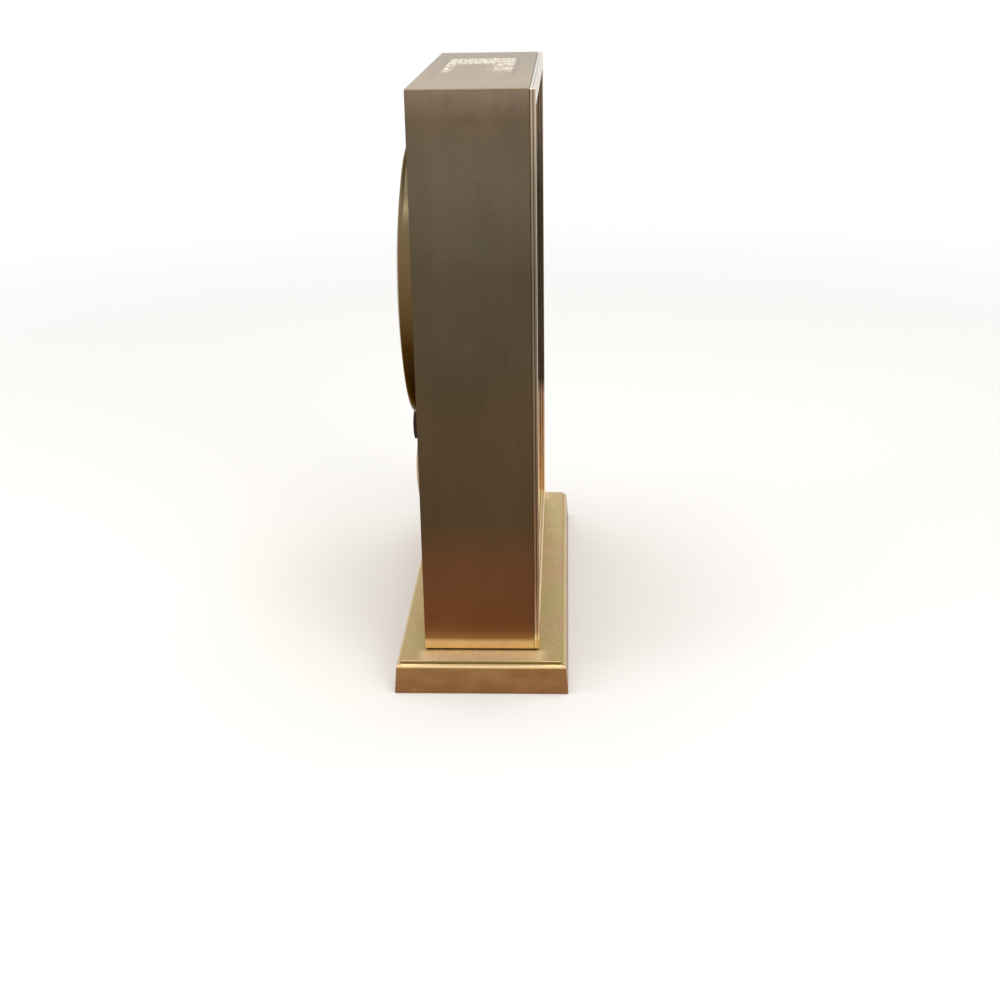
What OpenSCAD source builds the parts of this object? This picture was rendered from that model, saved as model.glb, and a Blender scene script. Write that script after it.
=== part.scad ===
// Brass desk clock on a moulded base, with a domed rear cover over its movement.
// Millimetres. X is the width, the dial looks towards -Y, Z is up.
// The origin is the middle of the felt that the clock stands on.

/* [Base] */
// Width of the base
base_w = 220; // [205:1:260]
// Depth of the base
base_d = 79; // [70:1:110]
// Height of the base from the felt to the top of its plate
base_h = 15; // [12:0.5:24]
// How far the raised top plate stands back from the base outline
plate_inset = 2.9; // [2:0.1:5]
// Thickness of the raised top plate
plate_t = 1.3; // [0.8:0.1:2.5]
// How far the side of the base leans in towards its top edge
side_lean = 1; // [0:0.1:1.5]
// Wall thickness of the base moulding
base_wall = 3; // [2:0.1:5]
// Thickness of the felt under the base
felt_t = 1; // [0.6:0.1:2]
// How far the felt stands below the base moulding
felt_proud = 0.25; // [0.1:0.05:0.5]
// Diameter of the bolts that hold the case on its base
bolt_d = 5; // [3:0.5:6]

/* [Case] */
// Width of the case
case_w = 192; // [180:1:202]
// Depth of the case behind the front bezel
case_d = 50; // [46:0.5:60]
// Height of the case
case_h = 249.1; // [240:0.1:280]
// Wall thickness of the folded case
case_wall = 1.2; // [0.8:0.1:2]
// Corner radius of the case seen from the front
case_r = 1.2; // [1:0.1:4]
// Height of the black riser that leaves a shadow line under the case
riser_h = 0.4; // [0.3:0.1:2]
// Thickness of the back panel
back_t = 1.5; // [1:0.1:2.5]
// Side of the square corner posts inside the case
post_s = 9; // [7:0.5:12]

/* [Front] */
// How far the bezel stands in front of the case
bezel_proud = 2.5; // [2:0.1:4]
// Width of the bezel frame seen from the front
bezel_face = 8; // [7.5:0.1:12]
// Depth of the glass behind the front of the bezel
glass_recess = 4; // [3.6:0.1:5]
// Thickness of the glass
glass_t = 1.6; // [1.2:0.1:2.5]
// Free depth between the glass and the dial
dial_gap = 5.6; // [5.6:0.1:8]
// Thickness of the dial plate
dial_t = 1; // [0.8:0.1:1.5]
// Outer diameter of the chapter ring
ring_d = 156; // [120:1:164]
// Width of the chapter ring
ring_w = 24; // [16:1:30]

/* [Rear cover] */
// Outer diameter of the domed cover
dome_d = 132; // [126:1:140]
// Height of the dome above the back panel
dome_h = 14.8; // [12:0.1:20]
// Radius of the shallow dome
dome_r = 380; // [250:5:600]
// Radius of the rolled edge of the dome
dome_edge_r = 3; // [2:0.1:4]
// Clear gap between the dome and the knob under it
knob_gap = 0.35; // [0.3:0.05:1.5]
// Sheet thickness of the dome
dome_wall = 1.2; // [0.8:0.1:1.6]
// Running gap between the dome and the ring it presses onto
dome_fit = 0.1; // [0.05:0.01:0.1]

/* [Movement] */
// Distance between the two plates
plates_gap = 18; // [17:0.5:22]
// Thickness of each movement plate
mplate_t = 1.5; // [1:0.1:2]
// Width of the front movement plate
mplate_w = 100; // [96:1:110]
// Distance between the dial and the front movement plate
motion_gap = 5; // [5:0.1:7]
// Running gap of an arbor in its bore
bore_fit = 0.05; // [0.02:0.01:0.1]
// Thinning of each gear tooth flank that gives the backlash
tooth_slack = 0.06; // [0.04:0.01:0.1]
// Diameter of the balance wheel
balance_d = 34; // [28:1:36]

/* [Knob and battery] */
// Diameter of the hand setting knob
knob_d = 16; // [13:0.5:16]
// Height of the knob over the back panel
knob_h = 12; // [8:0.5:14]
// Diameter of the battery cell
cell_d = 26.2; // [24:0.1:27]
// Length of the battery cell
cell_l = 50; // [46:0.5:52]
// Width of the battery cover
cover_w = 66; // [64:0.5:70]
// Height of the battery cover
cover_h = 36; // [35:0.5:37]
// How far the battery cover stands out of the back panel
cover_proud = 11.5; // [9:0.1:14]
// Height of the middle of the battery above the foot
cell_z = 67.5; // [60:0.5:67.5]
// How far the middle of the battery lies beside the middle of the case
battery_x = 34; // [32:1:40]

/* [Hidden] */
$fn = 64;
eps = 0.01;

// Finishes seen on the object
satin_brass = [0.62, 0.52, 0.36];
bright_brass = [0.84, 0.68, 0.40];
pale_ivory = [0.80, 0.73, 0.62];
dark_plastic = [0.10, 0.08, 0.07];
steel = [0.70, 0.71, 0.73];

// Places along the depth, from the dial side to the back
depth_all = case_d + bezel_proud;
front_y = -depth_all / 2;
box_y = front_y + bezel_proud;
back_y = depth_all / 2;
glass_y = front_y + glass_recess;
glass_back = glass_y + glass_t;
dial_y = glass_back + dial_gap;
dial_back = dial_y + dial_t;
front_plate_y = dial_back + motion_gap;
train_y = front_plate_y + mplate_t;
back_plate_y = train_y + plates_gap;
balance_y = back_plate_y + mplate_t;
panel_y = back_y - back_t;

// Heights
case_z = base_h + riser_h;
case_mid = case_z + case_h / 2;
ledge_z = base_h - plate_t;
body_z = felt_proud;

// Insets of nested frames from the case outline
fit = 0.1;
panel_inset = case_wall + fit;
lip_inset = case_wall + fit;
glass_inset = 4.5;
glass_fit = 0.1;
sight_inset = bezel_face + 0.7;
retainer_inset = bezel_face + 0.2;

// Bezel moulding: depth behind the front face and how far each band stands in
groove_t = 0.4;
groove_in = 0.6;
band_t = 0.9;
band_in = 0.1;
quirk_t = 0.35;
quirk_in = 0.4;
bevel_in = 0.8;
bevel_edge_in = 0.15;
step_depth = 1.3;
reveal_chamfer = 0.5;

// Motion work
motion_m = 0.75;
hour_m = 0.6;
cannon_n = 12;
minute_n = 36;
minute_pinion_n = 12;
hour_n = 48;
setting_n = 14;
set_pinion_n = 12;
wheel_t = 1.2;
plane_a = front_plate_y - 1.9;
plane_b = front_plate_y - 3.8;
minute_drop = (cannon_n + minute_n) * motion_m / 2;
setting_drop = minute_drop + (minute_n + setting_n) * motion_m / 2;
knob_drop = setting_drop + (setting_n + set_pinion_n) * motion_m / 2;
minute_z = case_mid - minute_drop;
setting_z = case_mid - setting_drop;
knob_z = case_mid - knob_drop;
dome_z = knob_z + knob_d / 2 + knob_gap + dome_d / 2;
down = -90;

// Arbors, pipes and pivots
arbor_d = 3;
pivot_d = 1.6;
cannon_d = 3.6;
hour_pipe_d = 5.4;
set_arbor_d = 2.4;
stud_d = 2;
end_shake = 0.3;

// Hands, measured from the dial
hour_hand_y = dial_y - 2.6;
minute_hand_y = dial_y - 4;
hand_t = 0.6;
collet_t = 0.3;
hour_hand_l = 42;
minute_hand_l = 62;
ring_t = 0.8;
marker_t = 0.8;
marker_n = 12;

// Going train
train_m = 0.5;
third_m = 0.45;
centre_n = 75;
third_pinion_n = 10;
third_n = 80;
fourth_pinion_n = 10;
centre_plane = train_y + 11.5;
third_plane = train_y + 5.5;
third_angle = 125;
third_dist = (centre_n + third_pinion_n) * train_m / 2;
fourth_dist = (third_n + fourth_pinion_n) * third_m / 2;
third_at = [third_dist * cos(third_angle), case_mid + third_dist * sin(third_angle)];
fourth_angle = acos(-third_at[0] / fourth_dist);
fourth_at = [0, third_at[1] + fourth_dist * sin(fourth_angle)];
index_n = 15;
index_r = 7;
index_y = balance_y + 1.5;
index_t = 1;

// Balance
roller_dist = 11.6;
roller_r = 2.4;
balance_at = [0, fourth_at[1] + roller_dist];
disc_t = 1;
disc_1 = balance_y + 4;
disc_2 = balance_y + 10.5;
magnet_d = 7;
magnet_t = 0.8;
magnet_r = 11.5;
magnet_n = 4;
spring_y = disc_2 + disc_t + 1;
bridge_y = balance_y + 14.5;
bridge_t = 2;
bridge_half = 25;
bridge_w = 9;
coil_y = disc_1 + disc_t + magnet_t + 0.5;
coil_t = disc_2 - magnet_t - 0.5 - coil_y;
coil_d = 15;
coil_x = 14;
board_x = 27;
board_w = 22;
board_h = 26;
board_t = 1.4;
board_y = coil_y + (coil_t - board_t) / 2;

// Plates, pillars and screws
pillar_d = 6;
pillar_x = 38;
pillar_low = case_mid - 28;
pillar_high = case_mid + 76;
plate_margin = 8;
plate_corner_r = 8;
mplate_low = knob_z - plate_margin;
mplate_high = pillar_high + plate_margin;
bplate_w = 2 * pillar_x + 12;
dial_pillar_x = mplate_w / 2 - 6;
dial_pillar_low = case_mid - 44;
dial_pillar_high = case_mid + 66;
screw_d = 3;
screw_fit = 0.1;
head_d = 5.4;
head_t = 1.5;
flush_t = 0.7;
slot_w = 0.8;
screw_l = 6;
bridge_screw_l = 8;

// Case fixings
post_x = case_w / 2 - case_wall - post_s / 2;
post_relief = 2;
post_low = case_z + case_wall + post_s / 2;
post_high = case_z + case_h - case_wall - post_s / 2;
bolt_x = base_w * 0.27;
nut_d = 9;
nut_h = 4;
weight_fit = 0.3;
felt_inset = 1.4;

// Rear cover
hole_d = dome_d - 10;
seat_h = 3.5;
seat_od = dome_d - 2 * dome_wall - 2 * dome_fit;

// Battery box
cover_wall = 1.3;
cover_crown_r = 100;
cover_r = 6;
tray_wall = 2;
tray_w = cell_l + 2 * 3 + 2 * tray_wall;
tray_h = cell_d + 1 + 2 * tray_wall;
tray_depth = 20;
tray_front = back_y - tray_depth;
cell_y = tray_front + tray_wall + 0.4 + cell_d / 2;
cell_nub = 1.5;
flange_t = 1;
flange_fit = 0.4;
contact_t = 0.6;
contact_h = 16;
tab_w = 5;
tab_fit = 0.3;
tab_out = tray_w / 2 - tray_wall - contact_t / 2;
tab_top = cell_z + tray_h / 2 + 1;
lead_d = 1.4;
lead_rise = 5;
lead_gap = 3;
lead_x = board_x + 0.7;

// A flat shape drawn in X and Z, given thickness from y0 to y1
module slab(y0, y1) {
    translate([0, y1, 0]) rotate([90, 0, 0]) linear_extrude(y1 - y0) children();
}

// A round bar along Y
module bar(at, d, y0, y1, d_end = 0) {
    translate([at[0], y1, at[1]]) rotate([90, 0, 0])
        cylinder(d1 = d_end > 0 ? d_end : d, d2 = d, h = y1 - y0);
}

// A rectangle with true round corners
module soft_rect(w, h, r) {
    square([w, h - 2 * r], center = true);
    square([w - 2 * r, h], center = true);
    for (sx = [-1, 1], sz = [-1, 1]) translate([sx * (w / 2 - r), sz * (h / 2 - r)]) circle(r);
}

// The case outline, brought in by an inset
module case_outline(inset) {
    translate([0, case_mid])
        soft_rect(case_w - 2 * inset, case_h - 2 * inset, max(case_r - inset, 0.4));
}

// A slotted screw with a round head that faces +Y (side = 1) or -Y (side = -1)
module round_screw(at, seat_y, length, side) {
    tip = seat_y - side * length;
    top = seat_y + side * head_t;
    difference() {
        union() {
            bar(at, screw_d, min(tip, seat_y), max(tip, seat_y));
            bar(at, head_d, min(seat_y, top), max(seat_y, top));
        }
        translate([at[0], top, at[1]]) rotate([0, 30, 0]) cube([head_d + 1, head_t, slot_w], center = true);
    }
}

// Gear teeth: involute flanks in four steps, wheels with fewer
function inv_deg(c) = tan(acos(c)) * 180 / PI - acos(c);
function half_tooth(n, m, r) =
    let (base = n * m / 2 * cos(20))
    90 / n - tooth_slack / (n * m / 2) * 180 / PI + inv_deg(cos(20)) - inv_deg(min(1, base / r));
function flank_radii(n, m, add, ded, fine) =
    let (p = n * m / 2, base = p * cos(20), tip = p + add * m, root = p - ded * m)
    fine ? [root, max(base, root + 0.05), (p + base) / 2 + 0.1 * m, p + 0.5 * add * m, tip] : [root, p, tip];
function gear_points(n, m, add, ded, phase, fine) =
    let (rr = flank_radii(n, m, add, ded, fine), last = len(rr) - 1)
    [for (i = [0 : n - 1], k = [0 : 2 * last + 1])
        let (
            up = k <= last,
            r = rr[up ? k : 2 * last + 1 - k],
            a = phase + 360 * i / n + (up ? -1 : 1) * half_tooth(n, m, r)
        ) [r * cos(a), r * sin(a)]];

// The phase that makes wheel b mesh with wheel a, where b lies at angle beta from a
function mesh(na, phase_a, nb, beta) = beta + 180 + ((beta - phase_a) * na / 360 - 0.5) * 360 / nb;

module gear(at, n, m, y0, y1, phase, add = 0.7, ded = 1.3, fine = true) {
    slab(y0, y1) translate(at) polygon(gear_points(n, m, add, ded, phase, fine));
}

// The windows cut out of a wheel, which leave its arms
module crossing(at, rim_r, hub_r, arms, arm_w, y0, y1) {
    slab(y0 - eps, y1 + eps) translate(at) difference() {
        circle(rim_r);
        circle(hub_r);
        for (i = [0 : arms - 1]) rotate(i * 360 / arms) translate([0, -arm_w / 2]) square([rim_r + 1, arm_w]);
    }
}

minute_phase = mesh(cannon_n, 0, minute_n, down);
minute_pinion_phase = mesh(hour_n, 0, minute_pinion_n, down);
setting_phase = mesh(minute_n, minute_phase, setting_n, down);
set_pinion_phase = mesh(setting_n, setting_phase, set_pinion_n, down);
third_pinion_phase = mesh(centre_n, 0, third_pinion_n, third_angle);
fourth_phase = mesh(third_n, 0, fourth_pinion_n, fourth_angle);

// Base

// A four sided moulding with mitred corners, from a half profile of insets and heights
module mitred(w, d, profile) {
    high = max([for (p = profile) p[1]]);
    intersection() {
        rotate([90, 0, 0]) linear_extrude(d + 2, center = true)
            polygon(concat([for (p = profile) [w / 2 - p[0], p[1]]],
                [for (i = [len(profile) - 1 : -1 : 0]) [-w / 2 + profile[i][0], profile[i][1]]]));
        rotate([90, 0, 90]) linear_extrude(w + 2, center = true)
            polygon(concat([for (p = profile) [d / 2 - p[0], p[1]]],
                [for (i = [len(profile) - 1 : -1 : 0]) [-d / 2 + profile[i][0], profile[i][1]]]));
    }
}

edge_r = 0.9;
ledge_rise = 0.25;
quirk_w = 0.35;
quirk_depth = 0.5;
edge_steps = 5;
base_profile = concat(
    [[0, body_z], [side_lean, ledge_z - ledge_rise - edge_r]],
    [for (i = [1 : edge_steps]) let (a = 90 * i / edge_steps)
        [side_lean + edge_r * (1 - cos(a)), ledge_z - ledge_rise - edge_r * (1 - sin(a))]],
    [[plate_inset - quirk_w, ledge_z], [plate_inset - quirk_w, ledge_z - quirk_depth],
        [plate_inset, ledge_z - quirk_depth], [plate_inset, ledge_z]]);

module base_felt() {
    color([0.09, 0.13, 0.10]) linear_extrude(felt_t) square([base_w - 2 * felt_inset, base_d - 2 * felt_inset],
        center = true);
}

module base_body() {
    color(satin_brass) difference() {
        mitred(base_w, base_d, base_profile);
        translate([0, 0, -eps]) linear_extrude(felt_t + eps)
            square([base_w - 2 * felt_inset, base_d - 2 * felt_inset], center = true);
        translate([0, 0, -eps]) linear_extrude(ledge_z - base_wall + eps)
            square([base_w - 2 * base_wall - 4, base_d - 2 * base_wall - 4], center = true);
        for (s = [-1, 1]) translate([s * bolt_x, 0, 0]) cylinder(d = bolt_d + 0.4, h = base_h);
    }
}

module base_weight() {
    w = base_w - 2 * base_wall - 4 - 2 * weight_fit;
    d = base_d - 2 * base_wall - 4 - 2 * weight_fit;
    color(steel) difference() {
        translate([0, 0, felt_t]) linear_extrude(ledge_z - base_wall - felt_t) square([w, d], center = true);
        for (s = [-1, 1]) translate([s * bolt_x, 0, 0]) {
            cylinder(d = bolt_d + 0.4, h = base_h);
            translate([0, 0, -eps]) cylinder(d = 2 * bolt_d, h = felt_t + 3.2 + eps);
        }
    }
}

module base_top_plate() {
    w = base_w - 2 * plate_inset;
    d = base_d - 2 * plate_inset;
    soft = 0.35;
    color(satin_brass) difference() {
        translate([0, 0, ledge_z]) mitred(w, d, [[0, 0], [0, plate_t - soft], [soft * 0.3, plate_t - soft * 0.3],
            [soft, plate_t]]);
        for (s = [-1, 1]) translate([s * bolt_x, 0, 0]) cylinder(d = bolt_d + 0.4, h = base_h + 1);
    }
}

module base_bolts() {
    head_z = felt_t + 0.4;
    top = case_z + case_wall + nut_h + 1;
    color(steel) for (s = [-1, 1]) translate([s * bolt_x, 0, 0]) difference() {
        union() {
            translate([0, 0, head_z]) cylinder(d = 1.7 * bolt_d, h = 2.8);
            translate([0, 0, head_z]) cylinder(d = bolt_d, h = top - head_z);
        }
        translate([0, 0, head_z - eps]) cylinder(d = bolt_d * 0.8, h = 1.6, $fn = 6);
    }
}

module base_nuts() {
    color(steel) for (s = [-1, 1]) translate([s * bolt_x, 0, case_z + case_wall]) difference() {
        cylinder(d = nut_d, h = nut_h, $fn = 6);
        translate([0, 0, -eps]) cylinder(d = bolt_d, h = nut_h + 2 * eps);
    }
}

// Case

module case_riser() {
    inset = 2.5;
    color(dark_plastic) translate([0, (box_y + back_y) / 2, base_h]) difference() {
        linear_extrude(riser_h) square([case_w - 2 * inset, case_d - 2 * inset], center = true);
        for (s = [-1, 1]) translate([s * bolt_x, -(box_y + back_y) / 2, -eps])
            cylinder(d = bolt_d + 0.4, h = riser_h + 2 * eps);
    }
}

module case_shell() {
    color(satin_brass) difference() {
        slab(box_y, back_y) case_outline(0);
        slab(box_y - eps, back_y + eps) case_outline(case_wall);
        for (s = [-1, 1]) translate([s * bolt_x, 0, case_z - 1]) cylinder(d = bolt_d + 0.4, h = case_wall + 2);
    }
}

module corner_posts() {
    color(satin_brass) for (x = [-post_x, post_x], z = [post_low, post_high]) difference() {
        slab(dial_back, panel_y) translate([x, z]) square(post_s, center = true);
        bar([x, z], screw_d, dial_back - eps, dial_back + 8);
        bar([x, z], screw_d, panel_y - 8, panel_y + eps);
        translate([sign(x) * (case_w / 2 - case_wall), (dial_back + panel_y) / 2,
                z + sign(z - case_mid) * post_s / 2])
            rotate([0, 45, 0]) cube([post_relief, panel_y - dial_back + 1, post_relief], center = true);
    }
}

module case_back() {
    color(satin_brass) difference() {
        slab(panel_y, back_y) case_outline(panel_inset);
        bar([0, dome_z], hole_d, panel_y - eps, back_y + eps);
        bar([0, knob_z], bush_d, panel_y - eps, back_y + eps);
        slab(panel_y - eps, back_y + eps) translate([battery_x, cell_z])
            square([tray_w + 0.4, tray_h + 0.4], center = true);
        for (x = [-post_x, post_x], z = [post_low, post_high]) {
            bar([x, z], screw_d + 2 * screw_fit, panel_y - eps, back_y + eps);
            bar([x, z], head_d + 2 * screw_fit, back_y - flush_t, back_y + eps);
        }
    }
}

module back_screws() {
    color(bright_brass) for (x = [-post_x, post_x], z = [post_low, post_high]) difference() {
        union() {
            bar([x, z], head_d, back_y - flush_t, back_y);
            bar([x, z], screw_d, panel_y - 7, back_y);
        }
        translate([x, back_y, z]) rotate([0, 20, 0]) cube([head_d + 1, 0.8, slot_w], center = true);
    }
}

// Rear cover

module dome_seat() {
    color(bright_brass) difference() {
        bar([0, dome_z], seat_od, back_y, back_y + seat_h);
        bar([0, dome_z], hole_d, back_y - eps, back_y + seat_h + eps);
    }
}

// Half section of a shallow dome with a rolled edge, taken in by the sheet thickness t
module dome_section(t) {
    half = dome_d / 2;
    ex = half - dome_edge_r;
    ez = dome_h - dome_r + sqrt(pow(dome_r - dome_edge_r, 2) - ex * ex);
    tangent = ex * (dome_r - t) / (dome_r - dome_edge_r);
    intersection() {
        translate([0, dome_h - dome_r]) circle(dome_r - t, $fn = 720);
        square([tangent, dome_h + 1]);
    }
    translate([ex, ez]) circle(dome_edge_r - t);
    square([half - t, ez]);
}

module rear_dome() {
    color(bright_brass) translate([0, back_y, dome_z]) rotate([-90, 0, 0])
        rotate_extrude($fn = 96) difference() {
        dome_section(0);
        translate([0, -eps]) dome_section(dome_wall);
    }
}

// Front

// A frame moulding with mitred corners: the profile gives inset and place along Y
module mitred_frame(profile) {
    wide = concat([for (p = profile) [case_w / 2 - p[0], p[1]]],
        [for (i = [len(profile) - 1 : -1 : 0]) [-case_w / 2 + profile[i][0], profile[i][1]]]);
    tall = concat([for (p = profile) [case_h / 2 - p[0], p[1]]],
        [for (i = [len(profile) - 1 : -1 : 0]) [-case_h / 2 + profile[i][0], profile[i][1]]]);
    intersection() {
        translate([0, 0, case_mid]) linear_extrude(case_h + 2, center = true) polygon(wide);
        translate([0, 0, case_mid]) rotate([0, -90, 0]) linear_extrude(case_w + 2, center = true) polygon(tall);
    }
}

bezel_profile = [
    [bevel_in, front_y], [bevel_edge_in, front_y + bezel_proud - groove_t - band_t - quirk_t],
    [quirk_in, front_y + bezel_proud - groove_t - band_t - quirk_t],
    [quirk_in, front_y + bezel_proud - groove_t - band_t],
    [band_in, front_y + bezel_proud - groove_t - band_t], [band_in, box_y - groove_t],
    [groove_in, box_y - groove_t], [groove_in, box_y], [lip_inset, box_y], [lip_inset, glass_back]];
reveal_profile = [
    [bezel_face - reveal_chamfer, front_y - eps], [bezel_face, front_y + reveal_chamfer],
    [bezel_face, front_y + step_depth], [sight_inset, front_y + step_depth], [sight_inset, glass_back + eps]];

module front_bezel() {
    color(bright_brass) difference() {
        intersection() {
            mitred_frame(bezel_profile);
            union() {
                slab(front_y - 1, box_y) case_outline(0);
                slab(box_y - 1, glass_back + 1) case_outline(lip_inset);
            }
        }
        mitred_frame(reveal_profile);
        slab(glass_y, glass_back + eps) translate([0, case_mid])
            square([case_w - 2 * (glass_inset - glass_fit), case_h - 2 * (glass_inset - glass_fit)],
                center = true);
    }
}

module front_glass() {
    color([0.75, 0.82, 0.80, 0.4]) slab(glass_y, glass_back) translate([0, case_mid])
        square([case_w - 2 * glass_inset, case_h - 2 * glass_inset], center = true);
}

module glass_retainer() {
    color(bright_brass) slab(glass_back, dial_y) difference() {
        case_outline(lip_inset);
        translate([0, case_mid])
            square([case_w - 2 * retainer_inset, case_h - 2 * retainer_inset], center = true);
    }
}

module dial_plate() {
    color([0.80, 0.74, 0.60]) difference() {
        slab(dial_y, dial_back) case_outline(lip_inset);
        bar([0, case_mid], hour_pipe_d + 2, dial_y - eps, dial_back + eps);
        for (x = [-post_x, post_x], z = [post_low, post_high]) {
            bar([x, z], screw_d + 2 * screw_fit, dial_y - eps, dial_back + eps);
            bar([x, z], head_d + 2 * screw_fit, dial_y - eps, dial_y + flush_t);
        }
    }
}

module dial_screws() {
    color(steel) for (x = [-post_x, post_x], z = [post_low, post_high]) difference() {
        union() {
            bar([x, z], head_d, dial_y, dial_y + flush_t);
            bar([x, z], screw_d, dial_y, dial_back + 7);
        }
        translate([x, dial_y, z]) cube([head_d + 1, 0.6, slot_w], center = true);
    }
}

module chapter_ring() {
    color([0.88, 0.86, 0.80]) slab(dial_y - ring_t, dial_y) translate([0, case_mid]) difference() {
        circle(d = ring_d, $fn = 128);
        circle(d = ring_d - 2 * ring_w, $fn = 128);
    }
}

// Twelve applied batons, wider at the quarters, each with a ridge along its middle
module hour_markers() {
    outer = ring_d / 2 - 5.5;
    color(dark_plastic) for (i = [0 : marker_n - 1]) {
        quarter = i % 3 == 0;
        l = quarter ? ring_w - 10 : ring_w - 14;
        w = quarter ? 3.4 : 2;
        translate([0, dial_y - ring_t, case_mid]) rotate([0, i * 360 / marker_n, 0])
            translate([0, 0, outer - l])
            linear_extrude(l) polygon([[-w / 2, 0], [-w / 2, -marker_t * 0.5], [0, -marker_t],
                [w / 2, -marker_t * 0.5], [w / 2, 0]]);
    }
}

// A tapered baton hand with a counterweight tail
module hand_shape(l, w, tail) {
    polygon([[-w * 0.3, 0], [-w / 2, l * 0.72], [0, l], [w / 2, l * 0.72], [w * 0.3, 0],
        [w * 0.45, -tail], [-w * 0.45, -tail]]);
}

hour_rest = -55;
minute_rest = 60;

module hour_hand() {
    color(dark_plastic) difference() {
        union() {
            slab(hour_hand_y - hand_t, hour_hand_y) translate([0, case_mid]) rotate(-hour_rest)
                hand_shape(hour_hand_l, 5, 9);
            bar([0, case_mid], hour_pipe_d + 4, hour_hand_y - hand_t, hour_hand_y + collet_t);
        }
        bar([0, case_mid], hour_pipe_d, hour_hand_y - hand_t - eps, hour_hand_y + collet_t + eps);
    }
}

module minute_hand() {
    color(dark_plastic) difference() {
        union() {
            slab(minute_hand_y - hand_t, minute_hand_y) translate([0, case_mid]) rotate(-minute_rest)
                hand_shape(minute_hand_l, 4, 12);
            bar([0, case_mid], cannon_d + 4, minute_hand_y - hand_t, minute_hand_y + collet_t);
        }
        bar([0, case_mid], cannon_d, minute_hand_y - hand_t - eps, minute_hand_y + collet_t + eps);
    }
}

module hand_nut() {
    color(bright_brass) difference() {
        bar([0, case_mid], 5, minute_hand_y - hand_t - 0.9, minute_hand_y - hand_t, 4);
        bar([0, case_mid], pivot_d + 2 * bore_fit, minute_hand_y - hand_t - 1, minute_hand_y - hand_t + eps);
    }
}

// Motion work between the dial and the front plate

module cannon_pinion() {
    color(satin_brass) difference() {
        union() {
            gear([0, case_mid], cannon_n, motion_m, plane_a, plane_a + wheel_t, 0, 1);
            bar([0, case_mid], cannon_d, minute_hand_y - hand_t, plane_a + eps);
        }
        bar([0, case_mid], pivot_d + 2 * bore_fit, minute_hand_y - hand_t - eps, plane_a + wheel_t + eps);
    }
}

module hour_wheel() {
    color(satin_brass) difference() {
        union() {
            gear([0, case_mid], hour_n, hour_m, plane_b, plane_b + wheel_t, 0);
            bar([0, case_mid], hour_pipe_d, hour_hand_y - hand_t, plane_b + eps);
        }
        bar([0, case_mid], cannon_d + 2 * bore_fit, hour_hand_y - hand_t - eps, plane_b + wheel_t + eps);
        crossing([0, case_mid], hour_n * hour_m / 2 - 2.4, 5, 4, 2, plane_b, plane_b + wheel_t);
    }
}

module minute_wheel() {
    at = [0, minute_z];
    color(satin_brass) difference() {
        union() {
            gear(at, minute_n, motion_m, plane_a, plane_a + wheel_t, minute_phase);
            gear(at, minute_pinion_n, hour_m, plane_b, plane_a + eps, minute_pinion_phase, 1);
        }
        bar(at, stud_d + 2 * bore_fit, plane_b - eps, plane_a + wheel_t + eps);
        crossing(at, minute_n * motion_m / 2 - 2.6, 5, 4, 2, plane_a, plane_a + wheel_t);
    }
}

module motion_studs() {
    color(steel) for (z = [minute_z, setting_z]) {
        low = z == minute_z ? plane_b - end_shake : plane_a - end_shake;
        bar([0, z], stud_d, low, front_plate_y + mplate_t);
        bar([0, z], stud_d + 1.6, plane_a + wheel_t + end_shake, front_plate_y);
        bar([0, z], stud_d + 1.2, low - 0.4, low);
    }
}

module setting_wheel() {
    at = [0, setting_z];
    color(satin_brass) difference() {
        gear(at, setting_n, motion_m, plane_a, plane_a + wheel_t, setting_phase, 0.75);
        bar(at, stud_d + 2 * bore_fit, plane_a - eps, plane_a + wheel_t + eps);
    }
}

bush_d = 7;
bush_flange_d = 11;

module set_arbor() {
    at = [0, knob_z];
    color(steel) {
        gear(at, set_pinion_n, motion_m, plane_a, plane_a + wheel_t, set_pinion_phase, 1);
        bar(at, set_arbor_d, plane_a - 0.6, back_y + knob_h - 3);
        bar(at, set_arbor_d + 2, train_y + 0.4, train_y + 1.6);
        bar(at, set_arbor_d + 2, panel_y - 3, panel_y - 1.8);
    }
}

module set_bush() {
    color(bright_brass) difference() {
        union() {
            bar([0, knob_z], bush_flange_d, panel_y - 1.2, panel_y);
            bar([0, knob_z], bush_d, panel_y - 1.2, back_y);
        }
        bar([0, knob_z], set_arbor_d + 2 * bore_fit, panel_y - 1.2 - eps, back_y + eps);
    }
}

// A fluted knob with a softly domed end
module set_knob() {
    flutes = 20;
    knob_y = back_y + 0.4;
    tip = back_y + knob_h;
    crown = 40;
    at = [0, knob_z];
    color(dark_plastic) difference() {
        intersection() {
            bar(at, knob_d, knob_y, tip);
            translate([0, tip - crown, knob_z]) sphere(crown, $fn = 160);
        }
        for (i = [0 : flutes - 1]) rotate_about_knob(i * 360 / flutes) bar([knob_d / 2 + 0.5, knob_z], 2,
            knob_y + 1.5, tip + eps);
        bar(at, set_arbor_d, knob_y - eps, back_y + knob_h - 3);
        bar(at, bush_flange_d, knob_y - eps, knob_y + 1);
    }
}

module rotate_about_knob(a) {
    translate([0, 0, knob_z]) rotate([0, a, 0]) translate([0, 0, -knob_z]) children();
}

// Movement plates

module plate_outline(w, low, high) {
    translate([0, (low + high) / 2]) soft_rect(w, high - low, plate_corner_r);
}

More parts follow.
